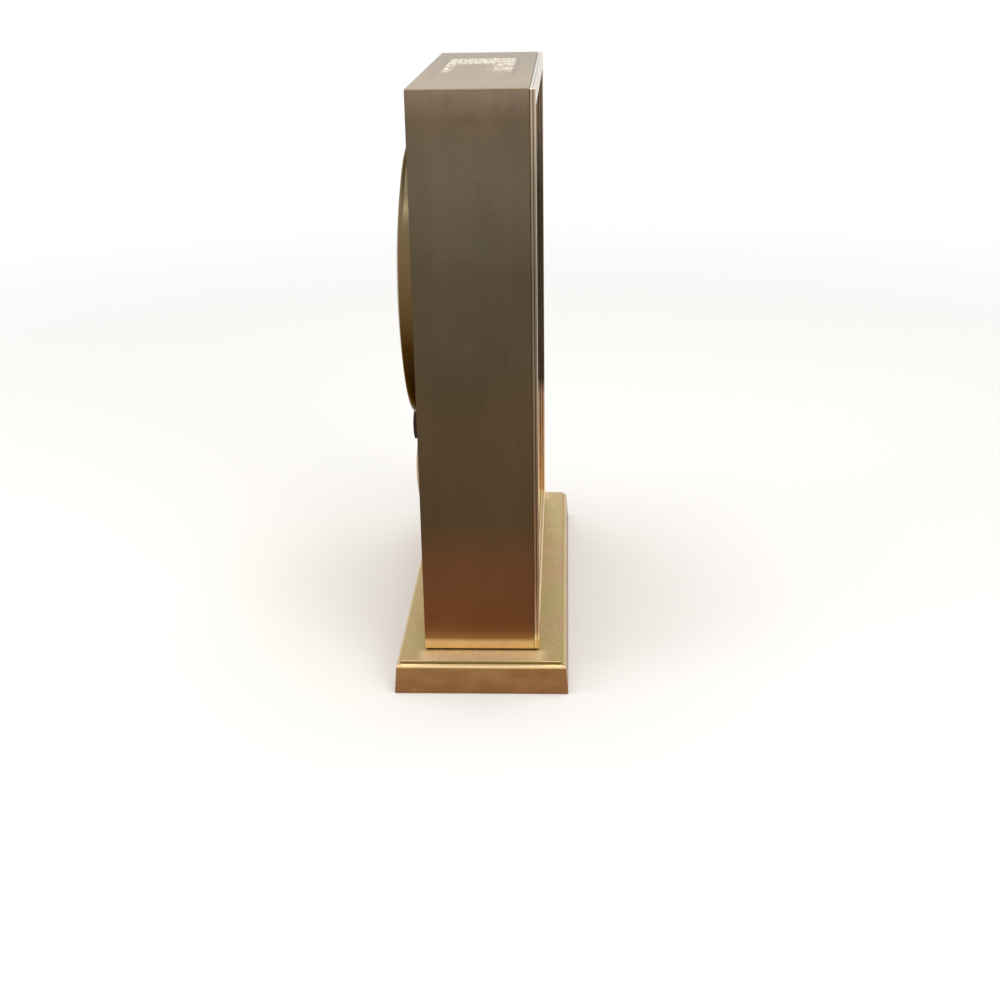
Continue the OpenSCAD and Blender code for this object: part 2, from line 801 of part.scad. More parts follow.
module front_plate() {
    color(bright_brass) difference() {
        slab(front_plate_y, train_y) plate_outline(mplate_w, mplate_low, mplate_high);
        bar([0, case_mid], pivot_d + 2 * bore_fit, front_plate_y - eps, train_y + eps);
        bar(third_at, pivot_d + 2 * bore_fit, front_plate_y - eps, train_y + eps);
        bar(fourth_at, pivot_d + 2 * bore_fit, front_plate_y - eps, train_y + eps);
        for (z = [minute_z, setting_z]) bar([0, z], stud_d, front_plate_y - eps, train_y + eps);
        bar([0, knob_z], set_arbor_d + 2 * bore_fit, front_plate_y - eps, train_y + eps);
        for (p = pillar_points) bar(p, screw_d, front_plate_y - eps, train_y + eps);
        for (p = dial_pillar_points) bar(p, screw_d, front_plate_y - eps, train_y + eps);
    }
}

pillar_points = [for (x = [-pillar_x, pillar_x], z = [pillar_low, pillar_high]) [x, z]];
dial_pillar_points = [for (x = [-dial_pillar_x, dial_pillar_x], z = [dial_pillar_low, dial_pillar_high])
    [x, z]];
bridge_points = [for (s = [-1, 1]) [0, balance_at[1] + s * bridge_half]];
board_points = [for (s = [-1, 1]) [board_x + board_w / 2 - 4, balance_at[1] + s * (board_h / 2 - 4)]];

module back_plate() {
    y1 = balance_y;
    color(bright_brass) difference() {
        slab(back_plate_y, y1) plate_outline(bplate_w, pillar_low - plate_margin, mplate_high);
        bar([0, case_mid], pivot_d + 2 * bore_fit, back_plate_y - eps, y1 + eps);
        bar(third_at, pivot_d + 2 * bore_fit, back_plate_y - eps, y1 + eps);
        bar(fourth_at, pivot_d + 2 * bore_fit, back_plate_y - eps, y1 + eps);
        bar(balance_at, staff_pivot_d + 2 * bore_fit, back_plate_y - eps, y1 + eps);
        for (p = concat(pillar_points, bridge_points, board_points))
            bar(p, screw_d, back_plate_y - eps, y1 + eps);
    }
}

module plate_pillars() {
    color(bright_brass) for (p = pillar_points) difference() {
        union() {
            bar(p, pillar_d, train_y, back_plate_y);
            bar(p, pillar_d + 2, train_y, train_y + 1.5);
            bar(p, pillar_d + 2, back_plate_y - 1.5, back_plate_y);
        }
        bar(p, screw_d, train_y - eps, train_y + screw_l);
        bar(p, screw_d, back_plate_y - screw_l, back_plate_y + eps);
    }
}

module plate_screws() {
    color(steel) {
        for (p = pillar_points) {
            round_screw(p, front_plate_y, 6, -1);
            round_screw(p, balance_y, 6, 1);
        }
        for (p = dial_pillar_points) round_screw(p, train_y, 5, 1);
    }
}

module dial_pillars() {
    color(bright_brass) for (p = dial_pillar_points) difference() {
        bar(p, pillar_d, dial_back, front_plate_y);
        bar(p, screw_d, front_plate_y - 4, front_plate_y + eps);
    }
}

// Going train between the plates

module centre_wheel() {
    at = [0, case_mid];
    rim = centre_n * train_m / 2;
    color(satin_brass) {
        difference() {
            gear(at, centre_n, train_m, centre_plane, centre_plane + wheel_t, 0, 0.6, 1.2, false);
            crossing(at, rim - 2.6, 4.5, 4, 2.2, centre_plane, centre_plane + wheel_t);
        }
        bar(at, arbor_d, train_y + end_shake, back_plate_y - end_shake);
        bar(at, pivot_d, minute_hand_y - hand_t - 0.8, back_plate_y + mplate_t);
    }
}

module third_wheel() {
    rim = third_n * third_m / 2;
    color(satin_brass) {
        difference() {
            gear(third_at, third_n, third_m, third_plane, third_plane + wheel_t, 0, 0.6, 1.2, false);
            crossing(third_at, rim - 2.6, 4, 4, 2, third_plane, third_plane + wheel_t);
        }
        gear(third_at, third_pinion_n, train_m, centre_plane - 0.6, centre_plane + wheel_t + 0.6,
            third_pinion_phase, 1);
        bar(third_at, 2.4, train_y + end_shake, back_plate_y - end_shake);
        bar(third_at, pivot_d, train_y - mplate_t, back_plate_y + mplate_t);
    }
}

module fourth_wheel() {
    color(steel) {
        gear(fourth_at, fourth_pinion_n, third_m, third_plane - 0.6, third_plane + wheel_t + 0.6,
            fourth_phase, 1);
        bar(fourth_at, 2.2, train_y + end_shake, back_plate_y - end_shake);
        bar(fourth_at, pivot_d, train_y - mplate_t, index_y + index_t + 0.4);
    }
}

// A ratchet shaped index wheel that the roller pin of the balance moves on tooth by tooth
module index_wheel() {
    color(bright_brass) difference() {
        slab(index_y, index_y + index_t) translate(fourth_at) difference() {
            polygon([for (i = [0 : index_n - 1], k = [0, 1]) let (
                r = k == 0 ? index_r : index_r * 0.78,
                a = (i + k * 0.22) * 360 / index_n + 270) [r * cos(a), r * sin(a)]]);
            for (i = [0 : 3]) rotate(i * 90 + 45) translate([3.6, 0]) circle(1.1);
        }
        bar(fourth_at, pivot_d, index_y - eps, index_y + index_t + eps);
    }
}

// Balance and what drives it

staff_pivot_d = 1;

module balance_wheel() {
    at = balance_at;
    color(bright_brass) {
        for (y = [disc_1, disc_2]) difference() {
            bar(at, balance_d, y, y + disc_t);
            crossing(at, balance_d / 2 - 2.4, 6.4, 4, 9, y, y + disc_t);
        }
        bar(at, 2.6, balance_y + end_shake, bridge_y - end_shake);
        bar(at, staff_pivot_d, balance_y - mplate_t, bridge_y + bridge_t);
        bar(at, 2 * roller_r, index_y - 0.6, index_y + index_t + 0.6);
        bar([at[0], at[1] + 3.4], 0.8, index_y - 0.4, disc_1 + eps);
    }
}

magnet_points = [for (i = [0 : magnet_n - 1]) let (a = 45 + 90 * i)
    [balance_at[0] + magnet_r * cos(a), balance_at[1] + magnet_r * sin(a)]];

module balance_magnets() {
    color(dark_plastic) for (p = magnet_points) {
        bar(p, magnet_d, disc_1 + disc_t, disc_1 + disc_t + magnet_t);
        bar(p, magnet_d, disc_2 - magnet_t, disc_2);
    }
}

// A flat spiral from the collet on the staff to the stud under the bridge
module hairspring() {
    turns = 5;
    steps = 20;
    r0 = 2;
    r1 = 9;
    strip = 0.25;
    n = turns * steps;
    edge = [for (i = [0 : n]) [r0 + (r1 - r0) * i / n, 90 + 360 * i / steps]];
    color(steel) {
        slab(spring_y, spring_y + 0.8) translate(balance_at) polygon(concat(
            [for (e = edge) [(e[0] - strip / 2) * cos(e[1]), (e[0] - strip / 2) * sin(e[1])]],
            [for (i = [n : -1 : 0]) let (e = edge[i])
                [(e[0] + strip / 2) * cos(e[1]), (e[0] + strip / 2) * sin(e[1])]]));
        difference() {
            bar(balance_at, 4.2, spring_y - 0.1, spring_y + 0.9);
            bar(balance_at, 2.6, spring_y - 0.1 - eps, spring_y + 0.9 + eps);
        }
        bar([balance_at[0], balance_at[1] + r1], 1.2, spring_y - 0.1, bridge_y);
    }
}

module balance_bridge() {
    color(bright_brass) difference() {
        union() {
            slab(bridge_y, bridge_y + bridge_t) translate(balance_at)
                soft_rect(bridge_w, 2 * bridge_half + bridge_w, bridge_w / 2 - eps);
            bar(balance_at, 12, bridge_y, bridge_y + bridge_t);
            bar(balance_at, 6, bridge_y, bridge_y + bridge_t + 1.6);
        }
        bar(balance_at, staff_pivot_d + 2 * bore_fit, bridge_y - eps, bridge_y + bridge_t + 0.6);
        for (p = bridge_points) bar(p, screw_d, bridge_y - eps, bridge_y + bridge_t + eps);
    }
}

module bridge_posts() {
    color(bright_brass) for (p = bridge_points) difference() {
        bar(p, pillar_d + 1, balance_y, bridge_y);
        bar(p, screw_d, balance_y - eps, bridge_y + eps);
    }
}

module bridge_screws() {
    color(steel) for (p = bridge_points) {
        round_screw(p, bridge_y + bridge_t, bridge_screw_l, 1);
        bar(p, screw_d, back_plate_y, balance_y + 3);
    }
}

module regulator() {
    y0 = bridge_y + bridge_t + 0.05;
    color(steel) difference() {
        union() {
            bar(balance_at, 9, y0, y0 + 0.8);
            slab(y0, y0 + 0.8) translate(balance_at) polygon([[2.4, -1.2], [2.4, 1.2], [17, 0.4], [17, -0.4]]);
        }
        bar(balance_at, 6 + 2 * bore_fit, y0 - eps, y0 + 0.8 + eps);
    }
}

module drive_coil() {
    at = [coil_x, balance_at[1]];
    color([0.62, 0.30, 0.14]) difference() {
        bar(at, coil_d, coil_y, coil_y + coil_t);
        bar(at, 5, coil_y - eps, coil_y + coil_t + eps);
    }
}

module circuit_board() {
    color([0.42, 0.24, 0.10]) {
        difference() {
            slab(board_y, board_y + board_t) translate([board_x, balance_at[1]]) difference() {
                square([board_w, board_h], center = true);
                translate([coil_x - board_x, 0]) circle(d = coil_d + 2 * fit);
            }
            for (p = board_points) bar(p, screw_d, board_y - eps, board_y + board_t + eps);
        }
        bar([board_x + 4, balance_at[1] - 4], 5, board_y + board_t, board_y + board_t + 4);
        slab(board_y + board_t, board_y + board_t + 3) translate([board_x + 1, balance_at[1] + 1.5])
            square([8, 3]);
    }
}

module board_posts() {
    color(steel) for (p = board_points) {
        bar(p, 5, balance_y, board_y);
        round_screw(p, board_y + board_t, 4, 1);
        bar(p, screw_d, back_plate_y, balance_y + 2);
    }
}

// Battery box

module battery_tray() {
    color(pale_ivory) difference() {
        union() {
            slab(tray_front, back_y) translate([battery_x, cell_z]) square([tray_w, tray_h], center = true);
            slab(back_y, back_y + flange_t) translate([battery_x, cell_z])
                soft_rect(cover_w - 2 * (cover_wall + flange_fit), cover_h - 2 * (cover_wall + flange_fit), 4);
        }
        slab(tray_front + tray_wall, back_y + flange_t + eps) translate([battery_x, cell_z])
            square([tray_w - 2 * tray_wall, tray_h - 2 * tray_wall], center = true);
        for (s = [-1, 1]) translate([battery_x + s * tab_out, cell_y, cell_z + tray_h / 2])
            cube([contact_t + 2 * tab_fit, tab_w + 2 * tab_fit, 3 * tray_wall], center = true);
    }
}

module battery_cell() {
    color([0.35, 0.37, 0.40]) translate([battery_x, cell_y, cell_z]) rotate([0, 90, 0]) {
        cylinder(d = cell_d, h = cell_l - cell_nub, center = true);
        translate([0, 0, (cell_l - cell_nub) / 2 - eps]) cylinder(d = 8, h = cell_nub);
    }
}

// A raised tab at the plus end and a bowed leaf at the minus end
module battery_contacts() {
    end = tray_w / 2 - tray_wall;
    leaf_t = 0.5;
    bow = end - contact_t - cell_l / 2 + cell_nub / 2 - 0.6;
    tab_t = end - contact_t - cell_l / 2 - cell_nub / 2 - 0.2;
    color(steel) translate([battery_x, 0, 0]) {
        for (s = [-1, 1]) translate([s * tab_out, cell_y, 0]) {
            translate([0, 0, cell_z]) cube([contact_t, 14, contact_h], center = true);
            translate([-contact_t / 2, -tab_w / 2, cell_z]) cube([contact_t, tab_w, tab_top - cell_z]);
        }
        translate([end - contact_t - tab_t, cell_y - 4, cell_z - 3]) cube([tab_t, 8, 6]);
        translate([-end + contact_t, cell_y, cell_z - 3]) linear_extrude(6)
            polygon([[0, -6], [bow, -2], [bow, 2], [0, 6], [0, 5], [bow - leaf_t, 1.5], [bow - leaf_t, -1.5], [0, -5]]);
    }
}

// A wire through a list of points; each length runs on by half its thickness at a bend
module wire(points) {
    last = len(points) - 1;
    for (i = [1 : last]) let (
        d = points[i] - points[i - 1],
        before = i == 1 ? 0 : lead_d / 2,
        after = i == last ? 0 : lead_d / 2
    ) translate(points[i - 1] - d / norm(d) * before) rotate([0, acos(d[2] / norm(d)), atan2(d[1], d[0])])
        cylinder(d = lead_d, h = norm(d) + before + after);
}

// Two wires from the tabs of the battery contacts up to the circuit board
module battery_leads() {
    bend_z = tab_top + lead_rise;
    high = balance_at[1] - board_h / 2;
    y_wire = board_y + board_t / 2;
    color([0.45, 0.10, 0.08]) for (s = [-1, 1]) let (
        from_x = battery_x + s * tab_out,
        to_x = lead_x - (1 - s) / 2 * lead_gap
    ) wire([[from_x, cell_y, tab_top], [from_x, cell_y, bend_z], [to_x, cell_y, bend_z], [to_x, y_wire, bend_z],
        [to_x, y_wire, high]]);
}

module cover_body(grow) {
    w = cover_w + 2 * grow;
    h = cover_h + 2 * grow;
    top = back_y + cover_proud + grow;
    r = cover_crown_r + grow;
    intersection() {
        slab(back_y - (grow < 0 ? eps : 0), top) translate([battery_x, cell_z]) soft_rect(w, h, cover_r + grow);
        translate([battery_x, top - r, cell_z]) rotate([0, 90, 0])
            cylinder(r = r, h = 2 * cover_w, center = true, $fn = 180);
    }
}

module battery_cover() {
    color(pale_ivory) difference() {
        cover_body(0);
        cover_body(-cover_wall);
    }
}

base_felt();
base_weight();
base_body();
base_top_plate();
base_bolts();
base_nuts();
case_riser();
case_shell();
corner_posts();
case_back();
back_screws();
dome_seat();
rear_dome();
front_bezel();
front_glass();
glass_retainer();
dial_plate();
dial_screws();
chapter_ring();
hour_markers();
hour_hand();
minute_hand();
hand_nut();
cannon_pinion();
hour_wheel();
minute_wheel();
motion_studs();
setting_wheel();
set_arbor();
set_bush();
set_knob();
front_plate();
back_plate();
plate_pillars();
plate_screws();
dial_pillars();
centre_wheel();
third_wheel();
fourth_wheel();
index_wheel();
balance_wheel();
balance_magnets();
hairspring();
balance_bridge();
bridge_posts();
bridge_screws();
regulator();
drive_coil();
circuit_board();
board_posts();
battery_tray();
battery_cell();
battery_contacts();
battery_leads();
battery_cover();
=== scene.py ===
"""Looks of a tall brass desk clock: finishes, printed dial, worn patch, stage and lights."""

import logging
import math
from dataclasses import dataclass
from enum import Enum
from typing import Protocol

import bmesh
import bpy
from mathutils import Matrix, Vector


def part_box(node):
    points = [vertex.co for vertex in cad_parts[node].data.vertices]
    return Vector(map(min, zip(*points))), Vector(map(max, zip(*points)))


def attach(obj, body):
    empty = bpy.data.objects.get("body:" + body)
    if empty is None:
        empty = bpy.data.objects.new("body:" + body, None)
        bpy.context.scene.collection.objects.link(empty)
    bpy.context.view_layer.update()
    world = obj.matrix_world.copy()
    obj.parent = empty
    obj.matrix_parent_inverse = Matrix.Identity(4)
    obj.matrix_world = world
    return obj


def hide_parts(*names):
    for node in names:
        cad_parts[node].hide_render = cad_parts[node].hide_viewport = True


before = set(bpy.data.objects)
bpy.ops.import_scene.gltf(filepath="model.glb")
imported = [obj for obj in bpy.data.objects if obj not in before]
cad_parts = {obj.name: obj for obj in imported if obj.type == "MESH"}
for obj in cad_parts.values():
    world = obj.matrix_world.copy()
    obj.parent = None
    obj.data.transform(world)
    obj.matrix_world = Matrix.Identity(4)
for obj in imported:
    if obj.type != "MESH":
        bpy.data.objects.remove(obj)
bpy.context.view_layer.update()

Pair = tuple[float, float]
Triple = tuple[float, float, float]
Colour = Triple
Stops = tuple[tuple[float, Colour], ...]
Socket = bpy.types.NodeSocket
Value = Socket | float

LOG = logging.getLogger("clock")
MM = 0.001
"""Metres in a millimetre."""
MIDDLE: Pair = (0.3, 0.7)
"""The range that holds most values of a cloudy pattern."""
WIDE: Pair = (0.3, 0.75)
"""The same range with a slower rise."""
DEGREES_PER_HOUR = 30
DEGREES_PER_MINUTE = 6
MINUTES = 60
MINUTES_PER_BATON = 5


def tone(red: float, green: float, blue: float) -> Colour:
    """Turn a screen colour into the linear colour that shaders take, by the sRGB curve.

    Args:
        red: Red from 0 to 255.
        green: Green from 0 to 255.
        blue: Blue from 0 to 255.

    Returns:
        The same colour as three linear shares.
    """
    shares = (red / 255.0, green / 255.0, blue / 255.0)
    return tuple(s / 12.92 if s <= 0.04045 else ((s + 0.055) / 1.055) ** 2.4 for s in shares)


class Grain(Enum):
    """The coordinate that the fine lines of a finish run along."""

    ALONG_DEPTH = 1
    ALONG_HEIGHT = 2


@dataclass(frozen=True)
class Cloud:
    """A cloudy pattern: waves per millimetre each way, layers, their strength and a move."""

    waves: Triple
    layers: float = 3.0
    strength: float = 0.5
    move: float = 0.0


@dataclass(frozen=True)
class Specks:
    """Sparse round dots: the spacing of their cells in millimetres, a dot's share, a move."""

    spacing: float
    share: float
    move: float = 0.0
    core: float = 0.4
    picked: Pair = (0.6, 0.62)


def brushed(way: Grain, fine: float, along: float) -> Cloud:
    """Give the pattern of brushed lines.

    Args:
        way: The direction of the lines.
        fine: Lines per millimetre across them.
        along: Waves per millimetre along them.

    Returns:
        The cloudy pattern, drawn out into lines.
    """
    waves = [fine] * 3
    waves[way.value] = along
    return Cloud(tuple(waves), layers=2.0, strength=0.6)


class Tree:
    """The node tree of a material or a world while it is put together."""

    def __init__(self, tree: bpy.types.NodeTree) -> None:
        """Take a tree and empty it.

        Args:
            tree: The tree.
        """
        self.tree = tree
        self.tree.nodes.clear()

    def feed(self, target: Socket, value: Value | Triple) -> None:
        """Link a socket to a target, or write a constant on it.

        Args:
            target: The input that takes the value.
            value: A socket, a number or a colour.
        """
        if isinstance(value, bpy.types.NodeSocket):
            self.tree.links.new(value, target)
        elif target.type == "RGBA":
            target.default_value = (*value, 1.0)
        else:
            target.default_value = value

    def fill(self, made: bpy.types.Node, **inputs: Value | Colour) -> None:
        """Write some of a node's inputs.

        Args:
            made: The node.
            **inputs: The values by the names of the inputs, with _ for a space.
        """
        for key, value in inputs.items():
            self.feed(made.inputs[key.replace("_", " ")], value)

    def node(self, kind: str, **settings: object) -> bpy.types.Node:
        """Add a node and set its properties.

        Args:
            kind: The node's kind, without its common prefix.
            **settings: Properties of the node.

        Returns:
            The new node.
        """
        made = self.tree.nodes.new("ShaderNode" + kind)
        for key, value in settings.items():
            setattr(made, key, value)
        return made

    def math(self, operation: str, first: Value, second: Value = 0.0,
             clamp: bool = False) -> Socket:
        """Work out one number from one or two others.

        Args:
            operation: The name of the Math node's operation.
            first: The first number or socket.
            second: The second number or socket.
            clamp: Whether the result is kept from 0 to 1.

        Returns:
            The socket with the result.
        """
        made = self.node("Math", operation=operation, use_clamp=clamp)
        self.feed(made.inputs[0], first)
        self.feed(made.inputs[1], second)
        return made.outputs[0]

    def chain(self, operation: str, *values: Value) -> Value:
        """Join numbers by one operation.

        Args:
            operation: The name of the Math node's operation.
            *values: The numbers, in order.

        Returns:
            The socket with the result.
        """
        result = values[0]
        for value in values[1:]:
            result = self.math(operation, result, value)
        return result

    def times(self, *values: Value) -> Value:
        """Multiply numbers together."""
        return self.chain("MULTIPLY", *values)

    def plus(self, *values: Value) -> Value:
        """Add numbers up."""
        return self.chain("ADD", *values)

    def less(self, *values: Value) -> Value:
        """Take the later numbers from the first one."""
        return self.chain("SUBTRACT", *values)

    def most(self, *values: Value) -> Value:
        """Give the largest of some numbers."""
        return self.chain("MAXIMUM", *values)

    def seen(self) -> Value:
        """Mask the rays that see the background: those of the camera, of gloss and of glass."""
        rays = self.node("LightPath").outputs
        return self.most(*(rays[f"Is {kind} Ray"] for kind in ("Camera", "Glossy", "Transmission")))

    def blend(self, share: Value, first: Socket, second: Socket, target: Socket) -> None:
        """Blend two shaders into an output.

        Args:
            share: How much of the second shader is taken.
            first: The first shader.
            second: The second shader.
            target: The output's input.
        """
        made = self.node("MixShader")
        for socket, value in zip(made.inputs, (share, first, second)):
            self.feed(socket, value)
        self.feed(target, made.outputs[0])


class Workbench(Tree):
    """The nodes of one material with one principled shader."""

    waver: Cloud = Cloud((0.02, 0.05, 0.03))
    """The pattern that makes the borders of by_height uneven."""
    move_way: Triple = (1.0, 1.7, 0.6)
    """How far each coordinate goes in a move of one."""
    turned_depth: float = 0.4
    """Waves per millimetre of turned lines along their axis."""

    def __init__(self, name: str) -> None:
        """Start a material.

        Args:
            name: The material's name.
        """
        self.material = bpy.data.materials.new(name)
        self.material.use_nodes = True
        super().__init__(self.material.node_tree)
        self.output = self.node("OutputMaterial")
        self.shader = self.node("BsdfPrincipled")
        self.feed(self.output.inputs["Surface"], self.shader.outputs[0])
        self._where: Socket | None = None
        self._split: bpy.types.Node | None = None

    def where(self) -> Socket:
        """Give the place in the row frame in millimetres, worked out once.

        Returns:
            The socket with the place.
        """
        if self._where is None:
            coordinates = self.node("TexCoord")
            self._where = self.shade(coordinates.outputs["Object"], 1 / MM)
        return self._where

    def axis(self, letter: str) -> Socket:
        """Give one coordinate in millimetres.

        Args:
            letter: The coordinate's letter.

        Returns:
            The socket with the coordinate.
        """
        if self._split is None:
            self._split = self.node("SeparateXYZ")
            self.feed(self._split.inputs[0], self.where())
        return self._split.outputs[letter]

    def facing(self, letter: str) -> Socket:
        """Give one part of the surface's own normal.

        Args:
            letter: The direction's letter.

        Returns:
            The socket with the part, from -1 to 1.
        """
        split = self.node("SeparateXYZ")
        self.feed(split.inputs[0], self.node("TexCoord").outputs["Normal"])
        return split.outputs[letter]

    def away(self, letter: str) -> Socket:
        """Give one coordinate without its sign, in millimetres."""
        return self.math("ABSOLUTE", self.axis(letter))

    def span(self, value: Value, low: float, high: float, first: float = 0.0,
             last: float = 1.0) -> Socket:
        """Map a range softly onto another one, and hold its ends.

        Args:
            value: The number to map.
            low: The value that gives the first result.
            high: The value that gives the last result.
            first: The first result.
            last: The last result.

        Returns:
            The socket with the mapped number.
        """
        made = self.node("MapRange", interpolation_type="SMOOTHSTEP")
        if high < low:
            low, high, first, last = high, low, last, first
        self.fill(made, Value=value, From_Min=low, From_Max=high, To_Min=first, To_Max=last)
        return made.outputs["Result"]

    def between(self, value: Value, low: float, high: float, soft: float) -> Socket:
        """Mask a band of a number, with soft edges outside it.

        Args:
            value: The number to test.
            low: The lower end of the band.
            high: The upper end of the band.
            soft: The width of each soft edge.

        Returns:
            The socket that is 1 in the band.
        """
        return self.times(self.span(value, low - soft, low), self.span(value, high + soft, high))

    def mix(self, share: Value, first: Socket | Colour, second: Socket | Colour) -> Socket:
        """Blend two colours.

        Args:
            share: How much of the second colour is taken.
            first: The first colour.
            second: The second colour.

        Returns:
            The socket with the blended colour.
        """
        # For colours, the node takes its factor at 0 and its colours at 6 and 7, and answers at 2.
        made = self.node("Mix", data_type="RGBA")
        for place, value in ((0, share), (6, first), (7, second)):
            self.feed(made.inputs[place], value)
        return made.outputs[2]

    def shade(self, colour: Socket | Colour, factor: Value) -> Socket:
        """Multiply each share of a colour, or of a place, by a factor.

        Args:
            colour: The colour.
            factor: What each share of it is multiplied by.

        Returns:
            The socket with the new colour.
        """
        scaled = self.node("VectorMath", operation="SCALE")
        self.feed(scaled.inputs[0], colour)
        self.feed(scaled.inputs["Scale"], factor)
        return scaled.outputs[0]

    def vary(self, colour: Socket | Colour, pattern: Value, darkest: float,
             palest: float) -> Socket:
        """Make a colour darker and lighter by a pattern.

        Args:
            colour: The colour.
            pattern: The pattern, from 0 to 1.
            darkest: The factor where the pattern is low.
            palest: The factor where the pattern is high.

        Returns:
            The socket with the new colour.
        """
        return self.shade(colour, self.span(pattern, *MIDDLE, darkest, palest))

    def by_height(self, stops: Stops, waver: float = 3.0) -> Socket:
        """Colour the surface by its height, with a slightly uneven border.

        Args:
            stops: Heights in millimetres and their colours, in rising order.
            waver: How far the borders wander up and down, in millimetres.

        Returns:
            The socket with the colour.
        """
        low, high = stops[0][0], stops[-1][0]
        uneven = self.times(self.less(self.noise(self.waver), 0.5), waver)
        height = self.less(self.plus(self.axis("Z"), uneven), low)
        made = self.node("ValToRGB")
        self.feed(made.inputs[0], self.math("DIVIDE", height, high - low))
        bar = made.color_ramp
        while len(bar.elements) < len(stops):
            bar.elements.new(1.0)
        for element, (place, colour) in zip(bar.elements, stops):
            element.position = (place - low) / (high - low)
            element.color = (*colour, 1.0)
        return made.outputs[0]

    def stretched(self, waves: Triple, move: float) -> Socket:
        """Give the place with each coordinate multiplied, which draws a pattern out.

        Args:
            waves: The factor of each coordinate.
            move: A move that gives another part of the pattern.

        Returns:
            The socket with the drawn out place.
        """
        made = self.node("VectorMath", operation="MULTIPLY_ADD")
        self.feed(made.inputs[0], self.where())
        made.inputs[1].default_value = waves
        made.inputs[2].default_value = tuple(move * way for way in self.move_way)
        return made.outputs[0]

    def cloudy(self, place: Socket, layers: float, strength: float) -> Socket:
        """Give cloudy noise at a place.

        Args:
            place: The place, with one wave to a unit.
            layers: How many finer layers the noise has.
            strength: How strong the finer layers are.

        Returns:
            The socket with the noise, from 0 to 1.
        """
        made = self.node("TexNoise")
        self.fill(made, Vector=place, Scale=1.0, Detail=layers, Roughness=strength)
        return made.outputs["Fac"]

    def noise(self, cloud: Cloud) -> Socket:
        """Give a cloudy pattern, from 0 to 1."""
        return self.cloudy(self.stretched(cloud.waves, cloud.move), cloud.layers, cloud.strength)

    def dots(self, specks: Specks) -> Value:
        """Give sparse round dots.

        Args:
            specks: Their settings.

        Returns:
            The socket that is 1 in a dot and 0 between the dots.
        """
        cells = self.node("TexVoronoi")
        self.feed(cells.inputs["Vector"], self.stretched((1 / specks.spacing,) * 3, specks.move))
        cells.inputs["Scale"].default_value = 1.0
        pick = self.node("SeparateColor")
        self.feed(pick.inputs[0], cells.outputs["Color"])
        near = self.span(cells.outputs["Distance"], specks.share, specks.share * specks.core)
        return self.times(near, self.span(pick.outputs[0], *specks.picked))

    def turned(self, centre: Pair, fine: float) -> Socket:
        """Give the lines that turning leaves round a line along the depth.

        Args:
            centre: Where that line crosses the width and the height.
            fine: Lines per millimetre of radius.

        Returns:
            The socket with the lines, from 0 to 1.
        """
        across, up = self.less(self.axis("X"), centre[0]), self.less(self.axis("Z"), centre[1])
        radius = self.math("SQRT", self.plus(self.times(across, across), self.times(up, up)))
        rings = self.node("CombineXYZ")
        self.feed(rings.inputs[0], self.times(radius, fine))
        self.feed(rings.inputs[1], self.times(self.axis("Y"), self.turned_depth))
        return self.cloudy(rings.outputs[0], Cloud.layers, Cloud.strength)

    def bump(self, height: Value, depth: float, strength: float) -> Socket:
        """Turn heights into a bent normal.

        Args:
            height: The height, from 0 to 1.
            depth: The depth of a full step in millimetres.
            strength: The strength of the effect.

        Returns:
            The socket with the normal.
        """
        made = self.node("Bump")
        self.fill(made, Strength=strength, Distance=depth * MM, Height=height)
        return made.outputs[0]

    def finish(self, **inputs: Value | Colour) -> bpy.types.Material:
        """Write the shader's inputs and hand the material over.

        Args:
            **inputs: The principled shader's inputs, with _ for a space.

        Returns:
            The finished material.
        """
        self.fill(self.shader, **inputs)
        return self.material


class Finish(Protocol):
    """What every finish can do."""

    def make(self) -> bpy.types.Material:
        """Build the material."""


